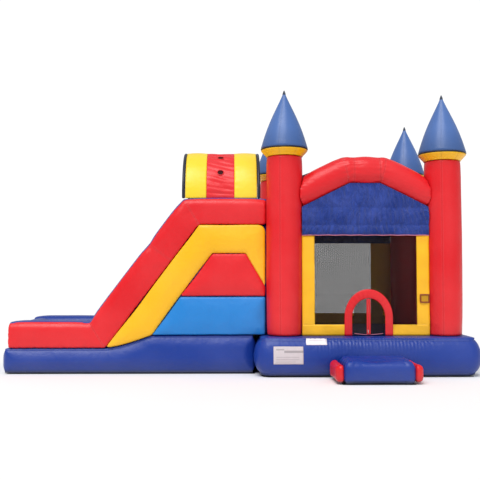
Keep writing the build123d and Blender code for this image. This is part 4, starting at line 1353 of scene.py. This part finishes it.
class CASTLE_OT_climb(bpy.types.Operator):
    """Inflate the climbing wedge with its rungs and grab loops"""

    bl_idname = "castle.climb"
    bl_label = "Climb"

    def execute(self, context):
        chamber("climb_wedge_skin", ["climb_wall"], ["royal vinyl"], 0.04, (), 2, 0.0, 0.01, 0.08)
        chamber("climb_rungs_skin", ["climb_rungs"], ["yellow vinyl"], 0.016, (), 3, 0.004, 0.0,
                0.05, 0.006)
        drawn = outer_skins("climb_handles")
        loops = [extent(lump) for lump in islands(drawn)]
        drawn.free()
        shape = bmesh.new()
        for loop_low, loop_high in loops:
            y = (loop_low.y + loop_high.y) / 2
            foot, head = loop_low.z + 0.012, loop_high.z - 0.012
            wall_foot, wall_head = loop_high.x - 0.046, loop_low.x + 0.004
            path = []
            for k in range(17):
                t = k / 16
                wall = wall_foot + (wall_head - wall_foot) * t
                stand = 0.003 + 0.04 * math.sin(math.pi * min(1.0, max(0.0, (t - 0.1) / 0.8))) ** 0.6
                path.append((wall + stand, y, foot + (head - foot) * t))
            strap_shape(shape, path, (0, 1, 0), loop_high.y - loop_low.y, 0.003)
        handles = piece("climb_grab_loops", shape, ["webbing"])
        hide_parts("climb_handles")
        return {"FINISHED"}


class CASTLE_OT_deflation_zip(bpy.types.Operator):
    """Sew the deflation zip and its cover to the rear of the base"""

    bl_idname = "castle.deflation_zip"
    bl_label = "Deflation zip"

    def execute(self, context):
        rear = high("deflation_zip").y
        for number, cut in enumerate(cut_sheets("deflation_zip", REAR, (0, 2), 0.03)):
            tape = sewn_sheet(f"deflation_tape_{number + 1}", cut, ["webbing"], None,
                              0.003)
            if number == 0:
                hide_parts("deflation_zip")
        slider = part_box("deflation_slider")
        z = (slider[0].z + slider[1].z) / 2
        teeth = []
        for k in range(220):
            tooth = bmesh.new()
            bmesh.ops.create_cube(tooth, size=1.0)
            bmesh.ops.scale(tooth, vec=(0.003, 0.002, 0.007), verts=tooth.verts)
            lift = 0.0015 if k % 2 else -0.0015
            teeth.append(moved(tooth, (-0.49 + 0.98 * k / 219, slider[0].y - 0.0016, z + lift)))
        piece("deflation_zip_teeth", joined(teeth), ["zip metal"], smooth=False)
        for cut in cut_sheets("deflation_cover", REAR, (0, 2), 0.03):
            cover = sewn_sheet("deflation_cover_flap", cut, ["royal sheet"], billow(REAR, 0.003, 5.0),
                               0.002, "deflation_flap")
            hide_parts("deflation_cover")
        cover_low, cover_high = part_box("deflation_cover")
        ledge = bmesh.new()
        middle, top = 0.08, cover_high.z
        path = [
            (middle, rear - 0.03, top + 0.012), (middle, rear - 0.015, top + 0.0125),
            (middle, rear, top + 0.009),
        ]
        strap_shape(ledge, path, (1, 0, 0), cover_high.x - cover_low.x, 0.004)
        piece("deflation_cover_hem", ledge, ["royal sheet"])
        return {"FINISHED"}


class CASTLE_OT_sleeve(bpy.types.Operator):
    """Sew the blower sleeve and its cinch strap"""

    bl_idname = "castle.sleeve"
    bl_label = "Blower sleeve"

    def execute(self, context):
        small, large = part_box("blower_sleeve")
        strap_low, strap_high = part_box("sleeve_strap")
        centre = (small + large) / 2
        radius, run = (large.x - small.x) / 2 - 0.004, large.y - small.y
        strap_y = (strap_low.y + strap_high.y) / 2 - small.y
        shape = bmesh.new()
        count = 60
        verts = [shape.verts.new((radius, run * k / count, 0)) for k in range(count + 1)]
        edges = [shape.edges.new(pair) for pair in zip(verts, verts[1:])]
        bmesh.ops.spin(shape, geom=verts + edges, cent=(0, 0, 0), axis=(0, 1, 0), angle=2 * math.pi, steps=72,
                       use_merge=True)
        bmesh.ops.remove_doubles(shape, verts=shape.verts, dist=1e-6)
        for vert in shape.verts:
            turn = math.atan2(vert.co.z, vert.co.x)
            near_strap = math.exp(-(((vert.co.y - strap_y) / 0.09) ** 2))
            folds = 0.012 * near_strap * (wave(turn * radius, 0.05, 2.0) - 0.9)
            slack = 0.006 * noise.noise(Vector((vert.co.y * 7, math.cos(turn) * 1.5, math.sin(turn) * 1.5)))
            grow = 1 + min(0.0, folds + slack - 0.003) / radius
            vert.co.x *= grow
            vert.co.z *= grow
        bmesh.ops.recalc_face_normals(shape, faces=shape.faces)
        sleeve = piece("blower_sleeve_tube", moved(shape, (centre.x, small.y, centre.z)), ["royal sheet"])
        sleeve.modifiers.new("Vinyl", "SOLIDIFY").thickness = 0.002
        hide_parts("blower_sleeve")
        band = bmesh.new()
        path = []
        hoop = (strap_high.x - strap_low.x) / 2 - 0.002
        for k in range(65):
            turn = math.pi / 2 + 2 * math.pi * k / 64 * 0.995
            path.append((
                centre.x + hoop * math.cos(turn), strap_y + small.y, centre.z + hoop * math.sin(turn),
            ))
        strap_shape(band, path, (0, 1, 0), 0.05, 0.0025)
        strap = piece("sleeve_cinch_strap", band, ["webbing"])
        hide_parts("sleeve_strap")
        seat = (centre.x, strap_y + small.y, strap_high.z - 0.006)
        buckle = rounded_block((0.062, 0.058, 0.009), seat, 0.003)
        piece("sleeve_buckle", buckle, ["navy trim"])
        return {"FINISHED"}


class CASTLE_OT_anchors(bpy.types.Operator):
    """Loop the webbing tabs round the anchor rings"""

    bl_idname = "castle.anchors"
    bl_label = "Anchors"

    def execute(self, context):
        shape = bmesh.new()
        for joint in frame["joints"]:
            if not joint["name"].endswith("_ring_hinge"):
                continue
            NODES[f"anchor_{joint['child']}"].data.materials.clear()
            NODES[f"anchor_{joint['child']}"].data.materials.append(finish_named("ring steel"))
            bar = Vector(joint["pos_m"])
            across = Vector(joint["axis"])
            out = UP.cross(across)
            path = [bar - out * 0.0095 + UP * 0.122, bar - out * 0.0095 + UP * 0.02]
            for k in range(15):
                turn = math.radians(160 - 300 * k / 14)
                path.append(bar + out * (0.0075 * math.cos(turn)) + UP * (-0.0075 * math.sin(turn)))
            path += [bar - out * 0.0065 + UP * 0.02, bar - out * 0.0065 + UP * 0.11]
            strap_shape(shape, path, across, 0.048, 0.0016)
        tabs = piece("anchor_tab_webbing", shape, ["webbing"])
        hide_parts("anchor_tabs")
        return {"FINISHED"}


class CASTLE_OT_labels(bpy.types.Operator):
    """Sew the plain patches to the base and the border"""

    bl_idname = "castle.labels"
    bl_label = "Patches"

    def execute(self, context):
        label = tuple(context.scene.castle_colours.label)
        yellow = tuple(context.scene.castle_colours.yellow)
        FINISHES["large patch"] = plain_label(
            "large_patch_print", label,
            [(0.49, 0.012, -1.64, -1.5, 0.6), (0.455, 0.02, -1.5, -1.17, 0.75), (0.36, 0.008, -1.64, -1.24, 0.35),
             (0.32, 0.008, -1.64, -1.24, 0.35), (0.28, 0.008, -1.64, -1.3, 0.3)],
        )
        FINISHES["small patch"] = plain_label(
            "small_patch_print", (0.86, 0.8, 0.84), [(0.64, 0.01, -1.06, -0.8, 0.3)]
        )
        FINISHES["border patch"] = plain_label("border_patch_print", tuple(c * 0.55 for c in yellow), [])
        graph = context.evaluated_depsgraph_get()
        base = BVHTree.FromObject(bpy.data.objects["castle_base_skin"], graph)
        cuts = cut_sheets("label_patches", Vector((0, -0.9, 0.3)).normalized(), (0, 2), 0.02)
        for cut in cuts:
            small, large = extent(cut[0].verts)
            wall = small.z > 1.0
            key = "border patch" if wall else ("large patch" if large.z < 0.56 else "small patch")
            if not wall:
                for vert in cut[0].verts:
                    spot, normal, _, _ = base.find_nearest(vert.co)
                    if spot is None:
                        raise RuntimeError("a patch misses the base")
                    vert.co = spot + normal * 0.004
            name = key.replace(" ", "_")
            patch = sewn_sheet(name, cut, [key], None, 0.0015)
            if wall:
                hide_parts("label_patches")
                rim = []
                y = small.y - 0.002
                for x, z in ((small.x, small.z), (large.x, small.z), (large.x, large.z), (small.x, large.z)):
                    rim += [(x, y, z)] * 3
                piping("border_patch_rim", rim, 0.013, "patch trim", closed=True)
        return {"FINISHED"}


class CASTLE_OT_stage(bpy.types.Operator):
    """Lay the pale floor, and set the lights and the camera"""

    bl_idname = "castle.stage"
    bl_label = "Stage"

    def light(self, name, place, target, spread, power):
        lamp = bpy.data.lights.new(name, "SUN")
        lamp.angle = spread
        lamp.energy = power
        holder = bpy.data.objects.new(name, lamp)
        bpy.context.scene.collection.objects.link(holder)
        holder.location = place
        holder.rotation_euler = (Vector(target) - Vector(place)).to_track_quat("-Z", "Y").to_euler()

    def execute(self, context):
        studio = context.scene.castle_studio
        shape = bmesh.new()
        bmesh.ops.create_grid(shape, x_segments=4, y_segments=4, size=60.0)
        mesh = bpy.data.meshes.new("studio_floor")
        shape.to_mesh(mesh)
        shape.free()
        mesh.materials.append(matt_floor("pale_floor", studio.floor))
        ground = bpy.data.objects.new("studio_floor", mesh)
        context.scene.collection.objects.link(ground)
        world = bpy.data.worlds.new("studio")
        world.use_nodes = True
        sky = world.node_tree.nodes["Background"]
        path = world.node_tree.nodes.new("ShaderNodeLightPath")
        seen = world.node_tree.nodes.new("ShaderNodeMapRange")
        seen.inputs["To Min"].default_value = studio.soft
        seen.inputs["To Max"].default_value = 1.05
        world.node_tree.links.new(path.outputs["Is Camera Ray"], seen.inputs["Value"])
        world.node_tree.links.new(seen.outputs[0], sky.inputs["Strength"])
        sky.inputs["Color"].default_value = (1.0, 1.0, 1.0, 1.0)
        context.scene.world = world
        self.light("key", (-3.0, -6.5, 12.0), (0, 0, 0), math.radians(38), studio.key)
        self.light("fill", (3.0, -9.0, 4.0), (0, 0, 0), math.radians(60), studio.key * 0.16)
        camera = bpy.data.cameras.new("studio_camera")
        camera.lens = studio.lens
        camera.sensor_width = 36.0
        camera.clip_end = 200.0
        holder = bpy.data.objects.new("studio_camera", camera)
        context.scene.collection.objects.link(holder)
        holder.location = studio.eye
        holder.rotation_euler = (math.pi / 2 + studio.tilt, 0.0, -studio.turn)
        context.scene.camera = holder
        context.scene.view_settings.view_transform = "Standard"
        return {"FINISHED"}


class CASTLE_PT_sidebar(bpy.types.Panel):
    """Lists the operators that make the castle, in their order"""

    bl_idname = "CASTLE_PT_sidebar"
    bl_label = "Bounce Castle"
    bl_space_type = "VIEW_3D"
    bl_region_type = "UI"
    bl_category = "Castle"

    def draw(self, context):
        for maker in MAKERS:
            self.layout.operator(maker.bl_idname)


MAKERS = (
    CASTLE_OT_stage, CASTLE_OT_base, CASTLE_OT_floor, CASTLE_OT_towers, CASTLE_OT_arches, CASTLE_OT_roof,
    CASTLE_OT_walls, CASTLE_OT_valances, CASTLE_OT_door, CASTLE_OT_step, CASTLE_OT_slide_chambers,
    CASTLE_OT_rails, CASTLE_OT_side_panels, CASTLE_OT_lane, CASTLE_OT_hood, CASTLE_OT_climb,
    CASTLE_OT_deflation_zip, CASTLE_OT_sleeve, CASTLE_OT_anchors, CASTLE_OT_labels,
)
SETTINGS = (("castle_colours", CastleColours), ("castle_sizes", CastleSizes), ("castle_studio", CastleStudio))


def register():
    for name, group in SETTINGS:
        bpy.utils.register_class(group)
        setattr(bpy.types.Scene, name, PointerProperty(type=group))
    for maker in (*MAKERS, CASTLE_PT_sidebar):
        bpy.utils.register_class(maker)


def unregister():
    for maker in (CASTLE_PT_sidebar, *reversed(MAKERS)):
        bpy.utils.unregister_class(maker)
    for name, group in reversed(SETTINGS):
        delattr(bpy.types.Scene, name)
        bpy.utils.unregister_class(group)


def main():
    register()
    for maker in MAKERS:
        family, name = maker.bl_idname.split(".")
        getattr(getattr(bpy.ops, family), name)()


if __name__ == "__main__":
    main()
